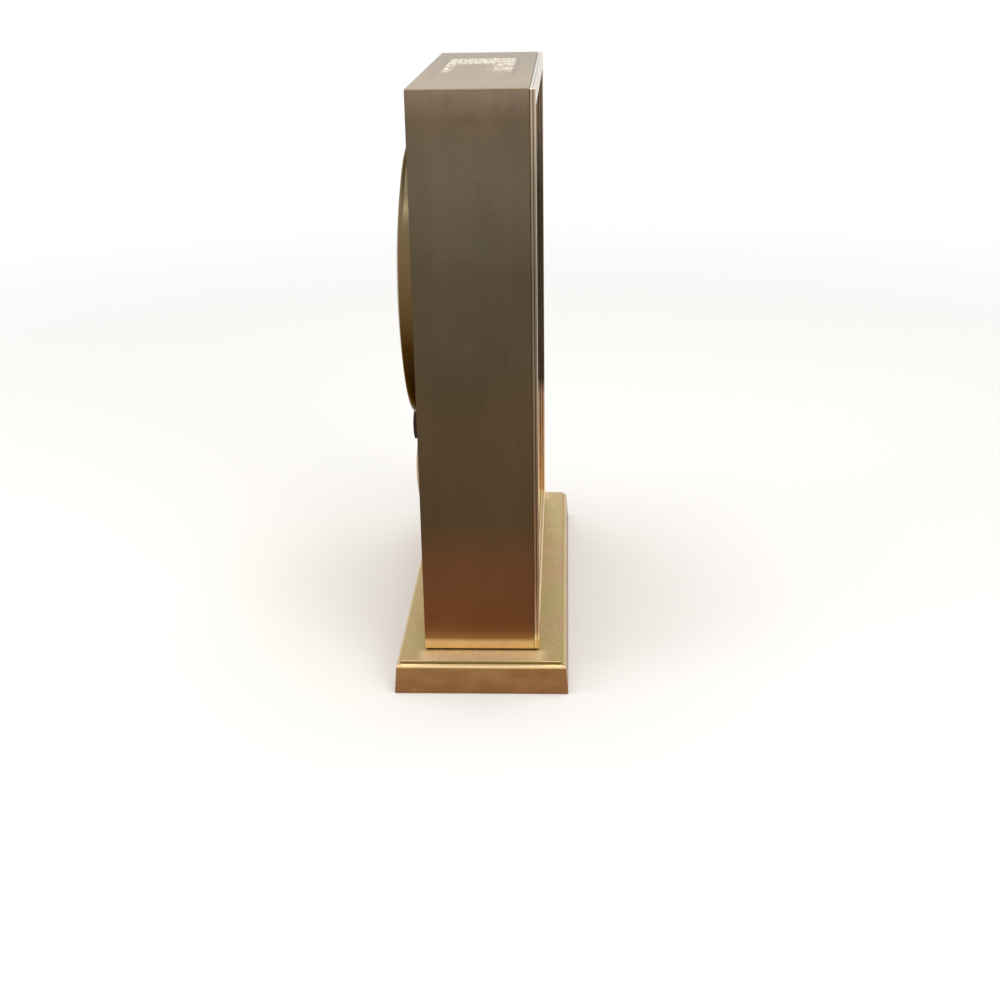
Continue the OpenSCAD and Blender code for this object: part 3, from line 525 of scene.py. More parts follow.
@dataclass(frozen=True)
class CaseBrass:
    """Brushed lacquered sheet brass of the case, with a painted reflection by height on its upright
    faces and a paler painted reflection on its top.
    """

    name: str = "case_brass"
    # Colour of the upright faces by height, a painted reflection: gold at the foot from the base,
    # red-brown and dark olive lower down, and paler near the top edge as a painted highlight.
    upright: Stops = (
        (15.4, tone(238, 212, 160)),
        (19.0, tone(232, 202, 148)),
        (21.0, tone(144, 100, 54)),
        (25.0, tone(112, 70, 39)),
        (30.0, tone(102, 62, 36)),
        (56.0, tone(95, 61, 38)),
        (78.0, tone(77, 60, 40)),
        (150.0, tone(82, 68, 51)),
        (190.0, tone(86, 75, 57)),
        (228.0, tone(103, 91, 75)),
        (252.0, tone(105, 89, 71)),
        (263.0, tone(130, 112, 93)),
    )
    waver: float = 0.8
    # Patterns of the upright faces, each with its darkest and palest factor.
    lines: Cloud = brushed(Grain.ALONG_HEIGHT, 2.2, 0.012)
    broad: Cloud = brushed(Grain.ALONG_HEIGHT, 0.35, 0.006)
    streaked: Pair = (0.972, 1.028)
    grit: Cloud = Cloud((0.9, 0.9, 0.6), 4.0, 0.7)
    gritty: Pair = (0.955, 1.045)
    cloud: Cloud = Cloud((0.05, 0.05, 0.03), 4.0, 0.55)
    clouded: Pair = (0.96, 1.05)
    drift: Cloud = Cloud((0.02, 0.022, 0.014), 2.0, 0.5, 9.0)
    drifted: Pair = (0.95, 1.05)
    # A greenish band, sparse dots and marks of handling near the top.
    green: Colour = tone(96, 94, 72)
    green_z: Triple = (205.0, 232.0, 18.0)
    green_drift: Pair = (0.4, 0.65)
    green_share: float = 0.3
    dots: tuple[Specks, Specks] = (Specks(5.0, 0.04), Specks(13.0, 0.03, 4.0))
    dot: Colour = tone(150, 138, 116)
    dot_share: float = 0.22
    touch: Cloud = Cloud((0.05, 0.07, 0.09), 4.0, 0.6, 3.0)
    touch_range: Pair = (0.5, 0.66)
    touch_z: Pair = (246.0, 258.0)
    touched: float = 0.88
    # The top face, paler than the sides as a painted reflection of the sky, and darker towards +X.
    level: Colour = tone(162, 136, 100)
    level_far: Colour = tone(141, 121, 91)
    level_x: Pair = (-70.0, 60.0)
    mottle: Cloud = Cloud((0.09, 0.12, 0.1), 4.0, 0.6)
    mottled: float = 0.25
    rubbed: Colour = tone(130, 110, 84)
    # The worn patch on it; the film's reaches are measured in from the patch's edges.
    patch_x: Pair = (-47.0, 57.0)
    patch_y: Pair = (-15.0, 19.0)
    rim: Pair = (1.0, 1.2)
    rim_share: float = 0.7
    film_far: Pair = (46.0, 28.0)
    film_left: tuple[Pair, Pair] = ((8.0, 3.0), (12.0, 34.0))
    film_right: tuple[Pair, Pair] = ((18.0, 7.0), (6.0, 44.0))
    film_gap: Triple = (5.0, 7.0, 2.5)
    gap_share: float = 0.6
    flakes: Cloud = Cloud((0.2, 1.1, 0.3), 4.0, 0.75)
    thinning: float = 0.25
    cover: Pair = (0.38, 0.56)
    film_inset: Pair = (-1.5, 1.0)
    film_share: float = 0.9
    residue: Colour = tone(218, 210, 193)
    # Facing up, the folded edges with their painted shade, and what these and the film do to the
    # metal.
    up: Pair = (0.55, 0.9)
    # The folded edges between top and sides are darkened with painted shade by the folded factor.
    fold: Triple = (0.4, 0.92, 0.1)
    folded: float = 0.5
    fold_rough: float = 0.2
    chalk_rough: float = 0.4
    chalk_dull: float = 0.8
    roughness: Pair = (0.27, 0.36)
    line_relief: float = 0.25
    relief: Pair = (0.03, 0.6)

    def inside(self, bench: Workbench, grow: float, soft: float) -> Value:
        """Give the mask of the worn patch's rectangle on the top.

        Args:
            bench: The material's bench.
            grow: How far the rectangle is grown.
            soft: The width of its soft edge.

        Returns:
            The socket that is 1 inside.
        """
        masks = (bench.between(bench.axis(letter), low - grow, high + grow, soft)
                 for letter, (low, high) in (("X", self.patch_x), ("Y", self.patch_y)))
        return bench.times(*masks)

    def film(self, bench: Workbench) -> Value:
        """Give the mask of the pale film in the patch, thickest along three of its edges.

        Args:
            bench: The material's bench.

        Returns:
            The socket that is 1 in the film.
        """
        (x0, x1), (y0, y1) = self.patch_x, self.patch_y
        x, y = bench.axis("X"), bench.axis("Y")
        far = bench.span(x, *(x1 - reach for reach in self.film_far))
        left = bench.times(bench.span(y, *(y1 - reach for reach in self.film_left[0])),
                           bench.span(x, *(x0 + reach for reach in self.film_left[1])))
        right = bench.times(bench.span(y, *(y0 + reach for reach in self.film_right[0])),
                            bench.span(x, *(x0 + reach for reach in self.film_right[1])))
        gap = bench.times(bench.between(x, *self.film_gap), self.gap_share)
        edges = bench.less(bench.most(far, left, right), gap)
        thin = bench.times(bench.less(edges, 1.0), self.thinning)
        cover = bench.span(bench.plus(bench.noise(self.flakes), thin), *self.cover)
        return bench.times(cover, self.inside(bench, *self.film_inset))

    def side(self, bench: Workbench, streak: Value) -> Socket:
        """Give the colour of the upright faces.

        Args:
            bench: The material's bench.
            streak: The brushed lines.

        Returns:
            The socket with the colour.
        """
        drift = bench.noise(self.drift)
        # The height stops paint a reflection onto the upright faces.
        side = bench.vary(bench.by_height(self.upright, self.waver), streak, *self.streaked)
        side = bench.vary(side, bench.noise(self.grit), *self.gritty)
        side = bench.vary(side, bench.noise(self.cloud), *self.clouded)
        side = bench.vary(side, drift, *self.drifted)
        green = bench.times(bench.between(bench.axis("Z"), *self.green_z),
                            bench.span(drift, *self.green_drift))
        side = bench.mix(bench.times(green, self.green_share), side, self.green)
        dots = bench.most(*(bench.dots(specks) for specks in self.dots))
        side = bench.mix(bench.times(dots, self.dot_share), side, self.dot)
        touch = bench.times(bench.span(bench.noise(self.touch), *self.touch_range),
                            bench.span(bench.axis("Z"), *self.touch_z))
        return bench.shade(side, bench.span(touch, 0.0, 1.0, 1.0, self.touched))

    def top(self, bench: Workbench, film: Value) -> Socket:
        """Give the colour of the top face with its worn patch.

        Args:
            bench: The material's bench.
            film: The mask of the film.

        Returns:
            The socket with the colour.
        """
        # The level colours paint the sky's reflection onto the top.
        top = bench.mix(bench.span(bench.axis("X"), *self.level_x), self.level, self.level_far)
        mottle = bench.span(bench.noise(self.mottle), *WIDE, 0.0, self.mottled)
        top = bench.mix(mottle, top, self.rubbed)
        width, soft = self.rim
        rim = bench.math("SUBTRACT", self.inside(bench, width, soft),
                         self.inside(bench, -width, soft), clamp=True)
        top = bench.mix(bench.times(rim, self.rim_share), top, self.rubbed)
        return bench.mix(bench.times(film, self.film_share), top, self.residue)

    def make(self) -> bpy.types.Material:
        """Build the material.

        Returns:
            The material.
        """
        bench = Workbench(self.name)
        lines, film = bench.noise(self.lines), self.film(bench)
        streak = bench.times(bench.plus(lines, bench.noise(self.broad)), 0.5)
        up = bench.span(bench.facing("Z"), *self.up)
        fold = bench.between(bench.facing("Z"), *self.fold)
        chalk = bench.times(film, up)
        # Faces that look up take the paler top colour, a painted reflection.
        colour = bench.mix(up, self.side(bench, streak), self.top(bench, film))
        rough = bench.plus(bench.span(streak, *MIDDLE, *self.roughness),
                           bench.times(chalk, self.chalk_rough))
        height = bench.plus(bench.times(lines, self.line_relief), chalk)
        return bench.finish(
            # Painted shade darkens the folded edges.
            Base_Color=bench.shade(colour, bench.span(fold, 0.0, 1.0, 1.0, self.folded)),
            Metallic=bench.less(1.0, bench.times(chalk, self.chalk_dull)),
            Roughness=bench.math("ADD", rough, bench.times(fold, self.fold_rough), clamp=True),
            Normal=bench.bump(height, *self.relief))


@dataclass(frozen=True)
class BaseBrass:
    """Satin brass of the base moulding: darker sides and a paler top as painted reflection, a
    painted highlight on the bead, a fine speckled top.
    """

    name: str = "base_brass"
    # The darker side and paler top colours are painted light: the top reflects the sky.
    side: Colour = tone(138, 98, 60)
    side_pale: Colour = tone(150, 112, 72)
    top: Colour = tone(192, 162, 116)
    top_green: Colour = tone(186, 165, 110)
    ledge: Colour = tone(208, 178, 134)
    ledge_x: Pair = (94.0, 98.5)
    ledge_y: Pair = (32.0, 25.0)
    ledge_metal: float = 0.35
    # A painted highlight along the rounded bead.
    bead_highlight: Colour = tone(216, 190, 140)
    bead_highlight_z: Pair = (12.2, 12.65)
    step: Colour = tone(132, 110, 62)
    step_z: Pair = (13.75, 13.9)
    cloud: Cloud = Cloud((0.05, 0.06, 0.12), 4.0, 0.6)
    cloud_range: Pair = (0.35, 0.68)
    lines: Cloud = Cloud((1.6, 0.5, 1.6), 3.0, 0.6)
    lined: Pair = (0.95, 1.05)
    drift: Cloud = Cloud((0.03, 0.05, 0.05), 3.0, 0.5, 5.0)
    drift_range: Pair = (0.35, 0.65)
    peel: Cloud = Cloud((1.1, 1.1, 1.1), 3.0, 0.65)
    peeled: Pair = (0.86, 1.14)
    specks: Specks = Specks(9.0, 0.05, 2.0)
    speck: Colour = tone(228, 206, 160)
    speck_share: float = 0.4
    up: Pair = (0.8, 0.97)
    roughness: Pair = (0.26, 0.38)
    up_rough: float = 0.06
    ledge_rough: float = 0.15
    relief: Pair = (0.02, 0.5)

    def make(self) -> bpy.types.Material:
        """Build the material.

        Returns:
            The material.
        """
        bench = Workbench(self.name)
        cloud, lines, peel = (bench.noise(one) for one in (self.cloud, self.lines, self.peel))
        side = bench.mix(bench.span(cloud, *self.cloud_range), self.side, self.side_pale)
        side = bench.vary(side, lines, *self.lined)
        # Painted highlight on the bead.
        side = bench.mix(bench.span(bench.axis("Z"), *self.bead_highlight_z), side, self.bead_highlight)
        side = bench.mix(bench.span(bench.axis("Z"), *self.step_z), side, self.step)
        drift = bench.span(bench.noise(self.drift), *self.drift_range)
        up = bench.span(bench.facing("Z"), *self.up)
        beside = bench.times(up, bench.span(bench.away("X"), *self.ledge_x),
                             bench.span(bench.away("Y"), *self.ledge_y))
        top = bench.mix(beside, bench.mix(drift, self.top, self.top_green), self.ledge)
        # Faces that look up take the paler top colour, a painted reflection.
        colour = bench.mix(up, side, bench.vary(top, peel, *self.peeled))
        specks = bench.times(bench.dots(self.specks), self.speck_share)
        rough = bench.plus(bench.span(cloud, *MIDDLE, *self.roughness),
                           bench.times(up, self.up_rough), bench.times(beside, self.ledge_rough))
        return bench.finish(
            Base_Color=bench.mix(specks, colour, self.speck),
            Metallic=bench.span(beside, 0.0, 1.0, 1.0, self.ledge_metal),
            Roughness=rough,
            Normal=bench.bump(bench.plus(bench.times(peel, up), lines), *self.relief))


@dataclass(frozen=True)
class BrightBrass:
    """Polished lacquered brass of screws, nuts and trim."""

    name: str = "bright_brass"
    body: Colour = tone(204, 172, 118)
    deep: Colour = tone(176, 142, 90)
    roughness: float = 0.18
    duller: float = 0.08
    turned_at: Pair | None = None
    fine: float = 2.5
    lined: Pair = (0.95, 1.05)
    coat: float = 0.2
    coat_rough: float = 0.12
    grazing: Colour = (1.0, 1.0, 1.0)
    cloud: Cloud = Cloud((0.03, 0.03, 0.03))
    deepened: float = 0.4
    skin: Cloud = Cloud((1.4, 1.4, 1.4), 3.0, 0.6)
    relief: Pair = (0.01, 0.3)

    def paint_light(self, bench: Workbench, colour: Socket) -> Socket:
        """Paint light and shade into the colour where a finish needs it; the plain finish leaves
        it.
        """
        return colour

    def metal(self, bench: Workbench) -> Value:
        """Give how much of the surface is bare metal."""
        return 1.0

    def make(self) -> bpy.types.Material:
        """Build the material.

        Returns:
            The material.
        """
        bench = Workbench(self.name)
        cloud = bench.noise(self.cloud)
        colour = bench.mix(bench.span(cloud, *WIDE, 0.0, self.deepened), self.body, self.deep)
        turned = self.turned_at is not None
        lines = bench.turned(self.turned_at, self.fine) if turned else bench.noise(self.skin)
        return bench.finish(
            Base_Color=bench.vary(self.paint_light(bench, colour), lines, *self.lined),
            Metallic=self.metal(bench),
            Roughness=bench.span(cloud, *WIDE, self.roughness, self.roughness + self.duller),
            Coat_Weight=self.coat, Coat_Roughness=self.coat_rough, Specular_Tint=self.grazing,
            Normal=bench.bump(lines, *self.relief))


@dataclass(frozen=True)
class FrameBrass(BrightBrass):
    """The frame's brass: painted reflection on the flanks and reveals, painted shade in the grooves
    and a pale painted reflection on the sill.
    """

    name: str = "frame_brass"
    # Painted shade in the two grooves, lighter where they look up and stronger higher up.
    grooves: tuple[Pair, Pair] = ((-24.15, -23.75), (-25.4, -25.05))
    groove_soft: float = 0.06
    groove_z: Pair = (19.0, 24.0)
    groove_share: Pair = (0.35, 0.95)
    groove_shade: Colour = tone(46, 36, 22)
    groove_shade_up: Colour = tone(150, 134, 110)
    # Faces that look up take a pale painted reflection, brightest and gold on the sill low down.
    level: Colour = tone(206, 190, 170)
    sill_reflection: Colour = tone(250, 222, 168)
    sill_z: Pair = (60.0, 32.0)
    sill_dull: float = 0.6
    up: Pair = (0.6, 0.9)
    aside: Pair = (0.4, 0.72)
    reveal_x: Pair = (89.0, 91.0)
    # Painted reflection on the faces that look sideways, by height, with a painted glint at the
    # foot.
    flank_reflection: Stops = (
        (15.4, tone(250, 234, 170)),
        (20.5, tone(238, 212, 150)),
        (24.5, tone(186, 148, 108)),
        (30.0, tone(172, 134, 100)),
        (50.0, tone(134, 96, 64)),
        (100.0, tone(112, 88, 60)),
        (143.0, tone(122, 104, 82)),
        (185.0, tone(112, 99, 79)),
        (225.0, tone(146, 128, 104)),
        (255.0, tone(184, 162, 138)),
    )
    # Painted reflection and shade in the reveals, by height: bright low down, dark in the middle,
    # paler near the top.
    reveal_painted_light: Stops = (
        (24.0, tone(254, 212, 158)),
        (53.0, tone(218, 182, 152)),
        (82.0, tone(176, 142, 118)),
        (90.0, tone(74, 60, 48)),
        (130.0, tone(74, 62, 51)),
        (193.0, tone(80, 67, 54)),
        (240.0, tone(140, 120, 98)),
    )

    def paint_light(self, bench: Workbench, colour: Socket) -> Socket:
        """Paint light on the frame: a painted reflection browns the faces that look sideways and
        pales those that look up, and painted shade darkens the grooves.

        Args:
            bench: The material's bench.
            colour: The plain colour.

        Returns:
            The socket with the colour with painted light and shade.
        """
        aside = bench.span(bench.math("ABSOLUTE", bench.facing("X")), *self.aside)
        up = bench.span(bench.facing("Z"), *self.up)
        # Sideways faces take painted reflection and shade: the flank stops outside, the reveal
        # stops inside.
        flank_reflection = bench.mix(bench.span(bench.away("X"), *self.reveal_x),
                          bench.by_height(self.reveal_painted_light), bench.by_height(self.flank_reflection))
        low = bench.span(bench.axis("Z"), *self.sill_z)
        colour = bench.mix(aside, colour, flank_reflection)
        # Faces that look up take painted reflection, brightest on the sill.
        colour = bench.mix(up, colour, bench.mix(low, self.level, self.sill_reflection))
        # Painted shade in the grooves.
        dark = bench.mix(up, self.groove_shade, self.groove_shade_up)
        share = bench.span(bench.axis("Z"), *self.groove_z, *self.groove_share)
        for first, last in self.grooves:
            groove = bench.between(bench.axis("Y"), first, last, self.groove_soft)
            colour = bench.mix(bench.times(groove, share), colour, dark)
        return colour

    def metal(self, bench: Workbench) -> Value:
        """Give how much of the surface is bare metal; the sill is dulled under its painted
        reflection.
        """
        sill_reflection = (bench.span(bench.axis("Z"), *self.sill_z), bench.span(bench.facing("Z"), *self.up))
        return bench.less(1.0, bench.times(*sill_reflection, self.sill_dull))


@dataclass(frozen=True)
class DomeBrass(BrightBrass):
    """Pressed brass of the domed cover, with painted shade: darker downwards, on the side that
    looks to -X and on its upper shoulder.
    """

    name: str = "dome_brass"
    body: Colour = tone(190, 156, 100)
    deep: Colour = tone(164, 128, 76)
    # Painted shade by height, darkest at the bottom.
    edge: Stops = (
        (105.0, tone(42, 25, 10)),
        (132.0, tone(46, 28, 9)),
        (150.0, tone(62, 40, 15)),
        (172.0, tone(98, 78, 46)),
        (192.0, tone(114, 94, 64)),
        (212.0, tone(122, 108, 82)),
    )
    slope: Pair = (0.05, -0.12)
    elsewhere: float = 0.45
    shoulder: Pair = (0.54, 0.72)
    shoulder_shade: float = 0.34
    coat: float = 0.0
    grazing: Colour = tone(212, 196, 176)

    def paint_light(self, bench: Workbench, colour: Socket) -> Socket:
        """Paint shade on the slope that looks to the clock's left, less on the rest, and on the
        upper shoulder.

        Args:
            bench: The material's bench.
            colour: The plain colour.

        Returns:
            The socket with the colour with painted shade.
        """
        # Painted shade, full on the slope that looks to -X and weaker elsewhere.
        slope = bench.span(bench.facing("X"), *self.slope, self.elsewhere, 1.0)
        colour = bench.mix(slope, colour, bench.by_height(self.edge))
        # Painted shade on the upper shoulder.
        shoulder = bench.span(bench.facing("Z"), *self.shoulder, 1.0, self.shoulder_shade)
        return bench.shade(colour, shoulder)


@dataclass(frozen=True)
class WorkBrass:
    """Grained brass of the movement, with faint tarnish."""

    name: str = "work_brass"
    body: Colour = tone(206, 168, 96)
    tarnish: Colour = tone(150, 108, 58)
    grain: Grain = Grain.ALONG_HEIGHT
    turned_at: Pair | None = None
    fine: float = 4.0
    along: float = 0.06
    lined: Pair = (0.92, 1.08)
    stain: float = 0.12
    stain_range: Pair = (0.45, 0.8)
    stained: float = 0.6
    roughness: Pair = (0.24, 0.4)
    relief: Pair = (0.02, 0.4)

    def make(self) -> bpy.types.Material:
        """Build the material.

        Returns:
            The material.
        """
        bench = Workbench(self.name)
        stain = bench.noise(Cloud((self.stain,) * 3, layers=4.0, strength=0.6))
        stain = bench.span(stain, *self.stain_range, 0.0, self.stained)
        colour = bench.mix(stain, self.body, self.tarnish)
        if self.turned_at is None:
            lines = bench.noise(brushed(self.grain, self.fine, self.along))
        else:
            lines = bench.turned(self.turned_at, self.fine)
        return bench.finish(Base_Color=bench.vary(colour, lines, *self.lined), Metallic=1.0,
                            Roughness=bench.span(lines, *MIDDLE, *self.roughness),
                            Normal=bench.bump(lines, *self.relief))


@dataclass(frozen=True)
class Steel:
    """Plain steel of screws, arbors and springs."""

    name: str = "plain_steel"
    body: Colour = tone(186, 186, 190)
    dull: Colour = tone(132, 130, 128)
    wear: Cloud = Cloud((0.8, 0.8, 0.8), 4.0, 0.65)
    wear_range: Pair = (0.4, 0.75)
    lines: Cloud = brushed(Grain.ALONG_DEPTH, 5.0, 0.2)
    roughness: Pair = (0.25, 0.45)
    relief: Pair = (0.01, 0.4)

    def make(self) -> bpy.types.Material:
        """Build the material.

        Returns:
            The material.
        """
        bench = Workbench(self.name)
        wear = bench.noise(self.wear)
        colour = bench.mix(bench.span(wear, *self.wear_range), self.body, self.dull)
        return bench.finish(
            Base_Color=colour, Metallic=1.0, Roughness=bench.span(wear, *WIDE, *self.roughness),
            Normal=bench.bump(bench.noise(self.lines), *self.relief))


@dataclass(frozen=True)
class Moulded:
    """Moulded plastic, lacquer, paint or enamel, with a fine skin."""

    name: str
    body: Colour
    worn: Colour
    roughness: float
    pores: float = 2.0
    depth: float = 0.02
    coat: float = 0.0
    metal: float = 0.0
    gloss: float = 0.5
    cloud: Cloud = Cloud((0.035, 0.035, 0.035))
    worn_range: Pair = (0.3, 0.8)
    worn_share: float = 0.6
    skinned: Pair = (0.96, 1.04)
    specks: Specks = Specks(6.0, 0.06, 7.0)
    dust: Colour = tone(200, 190, 175)
    dust_share: float = 0.2
    duller: float = 0.12
    coat_rough: float = 0.1
    relief: float = 0.5

    def make(self) -> bpy.types.Material:
        """Build the material.

        Returns:
            The material.
        """
        bench = Workbench(self.name)
        cloud = bench.noise(self.cloud)
        skin = bench.noise(Cloud((self.pores,) * 3, strength=0.6))
        worn = bench.span(cloud, *self.worn_range, 0.0, self.worn_share)
        colour = bench.vary(bench.mix(worn, self.body, self.worn), skin, *self.skinned)
        dust = bench.times(bench.dots(self.specks), self.dust_share)
        return bench.finish(
            Base_Color=bench.mix(dust, colour, self.dust), Metallic=self.metal,
            Roughness=bench.span(cloud, *WIDE, self.roughness, self.roughness + self.duller),
            Coat_Weight=self.coat, Coat_Roughness=self.coat_rough, Specular_IOR_Level=self.gloss,
            Normal=bench.bump(skin, self.depth, self.relief))


@dataclass(frozen=True)
class DialLacquer:
    """Champagne lacquer over a grained dial plate."""

    name: str = "dial_lacquer"
    body: Colour = tone(206, 190, 152)
    edge: Colour = tone(186, 166, 124)
    edge_share: float = 0.7
    lines: Cloud = brushed(Grain.ALONG_HEIGHT, 3.0, 0.02)
    lined: Pair = (0.93, 1.07)
    cloud: Cloud = Cloud((0.02, 0.02, 0.02))
    specks: Specks = Specks(14.0, 0.05, 3.0)
    speck: Colour = tone(120, 96, 60)
    speck_share: float = 0.35
    roughness: Pair = (0.34, 0.46)
    relief: Pair = (0.015, 0.5)

    def make(self) -> bpy.types.Material:
        """Build the material.

        Returns:
            The material.
        """
        bench = Workbench(self.name)
        lines = bench.noise(self.lines)
        cloud = bench.span(bench.noise(self.cloud), *MIDDLE, 0.0, self.edge_share)
        colour = bench.vary(bench.mix(cloud, self.body, self.edge), lines, *self.lined)
        specks = bench.times(bench.dots(self.specks), self.speck_share)
        return bench.finish(
            Base_Color=bench.mix(specks, colour, self.speck), Metallic=0.75,
            Roughness=bench.span(lines, *MIDDLE, *self.roughness),
            Coat_Weight=0.3, Coat_Roughness=0.15, Normal=bench.bump(lines, *self.relief))


@dataclass(frozen=True)
class Felt:
    """Short dark green felt under the base."""

    name: str = "base_felt_cloth"
    body: Colour = tone(34, 52, 40)
    fluff: Colour = tone(62, 80, 64)
    fibre: Cloud = Cloud((2.5, 2.5, 2.5), 5.0, 0.75)
    fibre_range: Pair = (0.35, 0.7)
    relief: Pair = (0.3, 0.8)

    def make(self) -> bpy.types.Material:
        """Build the material.

        Returns:
            The material.
        """
        bench = Workbench(self.name)
        fibre = bench.noise(self.fibre)
        colour = bench.mix(bench.span(fibre, *self.fibre_range), self.body, self.fluff)
        return bench.finish(Base_Color=colour, Roughness=0.95, Sheen_Weight=0.4,
                            Sheen_Roughness=0.5, Normal=bench.bump(fibre, *self.relief))


@dataclass(frozen=True)
class WindowGlass:
    """Clear flat glass with faint wiping marks."""

    name: str = "window_glass"
    clear: Colour = (0.97, 0.98, 0.97)
    smear: Cloud = Cloud((0.03, 0.05, 0.012), 4.0, 0.6)
    smear_range: Pair = (0.5, 0.8)
    smeared: float = 0.03
    bending: float = 1.2

    def make(self) -> bpy.types.Material:
        """Build the material.

        Returns:
            The material.
        """
        bench = Workbench(self.name)
        smear = bench.span(bench.noise(self.smear), *self.smear_range, 0.0, self.smeared)
        return bench.finish(Base_Color=self.clear, Roughness=smear, IOR=self.bending,
                            Transmission_Weight=1.0)


@dataclass(frozen=True)
class CopperWire:
    """Enamelled copper winding."""

    name: str = "copper_wire"
    body: Colour = tone(170, 84, 44)
    deep: Colour = tone(112, 48, 24)
    turns: Cloud = Cloud((2.0, 2.0, 2.0), 2.0, 0.6)
    turn_range: Pair = (0.35, 0.7)
    relief: Pair = (0.05, 0.4)

    def make(self) -> bpy.types.Material:
        """Build the material.

        Returns:
            The material.
        """
        bench = Workbench(self.name)
        turns = bench.noise(self.turns)
        colour = bench.mix(bench.span(turns, *self.turn_range), self.body, self.deep)
        return bench.finish(Base_Color=colour, Metallic=0.8, Roughness=0.3, Coat_Weight=0.5,
                            Coat_Roughness=0.1, Normal=bench.bump(turns, *self.relief))


@dataclass
class SubAssembly:
    """A group of pieces that belong together, with the tools that all groups share."""

    title: str = "pieces"
    bevel_angle: float = math.radians(40)

    def dress(self, finish: Finish, *nodes: str) -> bpy.types.Material:
        """Give CAD nodes a finish through their material slots.

        Args:
            finish: The finish, which can make its material.
            *nodes: The names of the nodes.

        Returns:
            The material, for pieces that share it.
        """
        material = finish.make()
        for name in nodes:
            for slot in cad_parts[name].material_slots:
                slot.material = material
            LOG.info("%s: %s has %s", self.title, name, material.name)
        return material

    def soften(self, node: str, width: float, segments: int) -> None:
        """Round the sharp edges of a CAD node inwards with a modifier.

        Args:
            node: The node's name.
            width: The width of the bevel in millimetres.
            segments: How many steps the bevel has.
        """
        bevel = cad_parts[node].modifiers.new("soft_edges", "BEVEL")
        bevel.width = width * MM
        bevel.segments = segments
        bevel.limit_method = "ANGLE"
        bevel.angle_limit = self.bevel_angle
        bevel.harden_normals = True

    def place(self, name: str, mesh: bpy.types.Mesh, body: str, slot: str,
              material: bpy.types.Material) -> bpy.types.Object:
        """Put a finished mesh into the scene as a piece of the object.

        Args:
            name: The piece's name.
            mesh: The mesh, in metres in the row frame.
            body: The CAD body that it rides on.
            slot: The name of the record's material slot; not used.
            material: The piece's material.

        Returns:
            The new object.
        """
        piece = bpy.data.objects.new(name, mesh)
        bpy.context.scene.collection.objects.link(piece)
        mesh.materials.clear()
        mesh.materials.append(material)
        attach(piece, body)
        LOG.info("%s: made %s", self.title, name)
        return piece


def middle(node: str) -> Pair:
    """Give the middle of a node's box across the width and the height, in millimetres."""
    low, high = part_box(node)
    return (low[0] + high[0]) / 2 / MM, (low[2] + high[2]) / 2 / MM


def mesh_of(name: str, shape: bmesh.types.BMesh, smooth: bool = False) -> bpy.types.Mesh:
    """Turn a bmesh into a mesh with outward faces, and free it.

    Args:
        name: The mesh's name.
        shape: The bmesh, in millimetres.
        smooth: Whether its faces are shaded smoothly.

    Returns:
        The mesh in metres.
    """
    bmesh.ops.recalc_face_normals(shape, faces=shape.faces[:])
    bmesh.ops.scale(shape, vec=(MM, MM, MM), verts=shape.verts[:])
    for face in shape.faces:
        face.smooth = smooth
    mesh = bpy.data.meshes.new(name)
    shape.to_mesh(mesh)
    shape.free()
    return mesh


def prism(shape: bmesh.types.BMesh, outline: list[Pair], front: float, back: float) -> None:
    """Add a flat plate with an outline in width and height.

    Args:
        shape: The bmesh that takes the plate.
        outline: Its corners in order, in millimetres.
        front: The depth of its front face.
        back: The depth of its back face.
    """
    near, far = ([shape.verts.new((x, depth, z)) for x, z in outline] for depth in (front, back))
    shape.faces.new(near)
    shape.faces.new(far[::-1])
    for i in range(len(outline)):
        j = (i + 1) % len(outline)
        shape.faces.new((near[j], near[i], far[i], far[j]))


def lathe(shape: bmesh.types.BMesh, centre: Pair, section: list[Pair], steps: int) -> None:
    """Turn a closed section round a line along the depth.

    Args:
        shape: The bmesh that takes the turned form.
        centre: Where its axis crosses the width and the height.
        section: Radius and depth of each corner, in order.
        steps: How many steps go round it.
    """
    rings = []
    for k in range(steps):
        angle = 2 * math.pi * k / steps
        rings.append([shape.verts.new((centre[0] + r * math.sin(angle), y,
                                       centre[1] + r * math.cos(angle))) for r, y in section])
    for k, here in enumerate(rings):
        there = rings[(k + 1) % steps]
        for i in range(len(section)):
            j = (i + 1) % len(section)
            shape.faces.new((here[i], here[j], there[j], there[i]))


@dataclass
class Foot(SubAssembly):
    """The moulded base with its felt, ballast and bolts."""

    title: str = "base"
    edge: float = 0.1
    edge_steps: int = 2

    def build(self) -> None:
        """Dress every node of the base."""
        self.dress(BaseBrass(), "base_body", "base_top_plate")
        self.dress(Felt(), "base_felt")
        self.dress(Moulded("ballast_iron", tone(92, 92, 94), tone(70, 66, 62), roughness=0.6,
                           pores=1.2, depth=0.15, metal=0.8), "base_weight")
        self.dress(Steel(), "base_bolts", "base_nuts")
        self.dress(Moulded("riser_paint", tone(34, 32, 30), tone(52, 48, 44), roughness=0.6,
                           depth=0.03), "case_riser")
        self.soften("base_body", self.edge, self.edge_steps)


@dataclass
class Case(SubAssembly):
    """The folded brass case with its back panel."""

    title: str = "case"

    def build(self) -> None:
        """Dress the case."""
        self.dress(CaseBrass(), "case_shell")
        self.dress(WorkBrass("panel_brass", tone(196, 170, 124), tone(168, 140, 96), stain=0.03,
                             stained=0.5), "case_back")
        self.dress(WorkBrass("post_brass"), "corner_posts")
        self.dress(BrightBrass("screw_brass", roughness=0.24), "back_screws")


@dataclass
class Window(SubAssembly):
    """The framed front with its glass."""

    title: str = "front"

    def build(self) -> None:
        """Dress the frame and the glass."""
        self.dress(FrameBrass(), "front_bezel")
        self.dress(BrightBrass("lip_brass", roughness=0.3), "glass_retainer")
        self.dress(WindowGlass(), "front_glass")


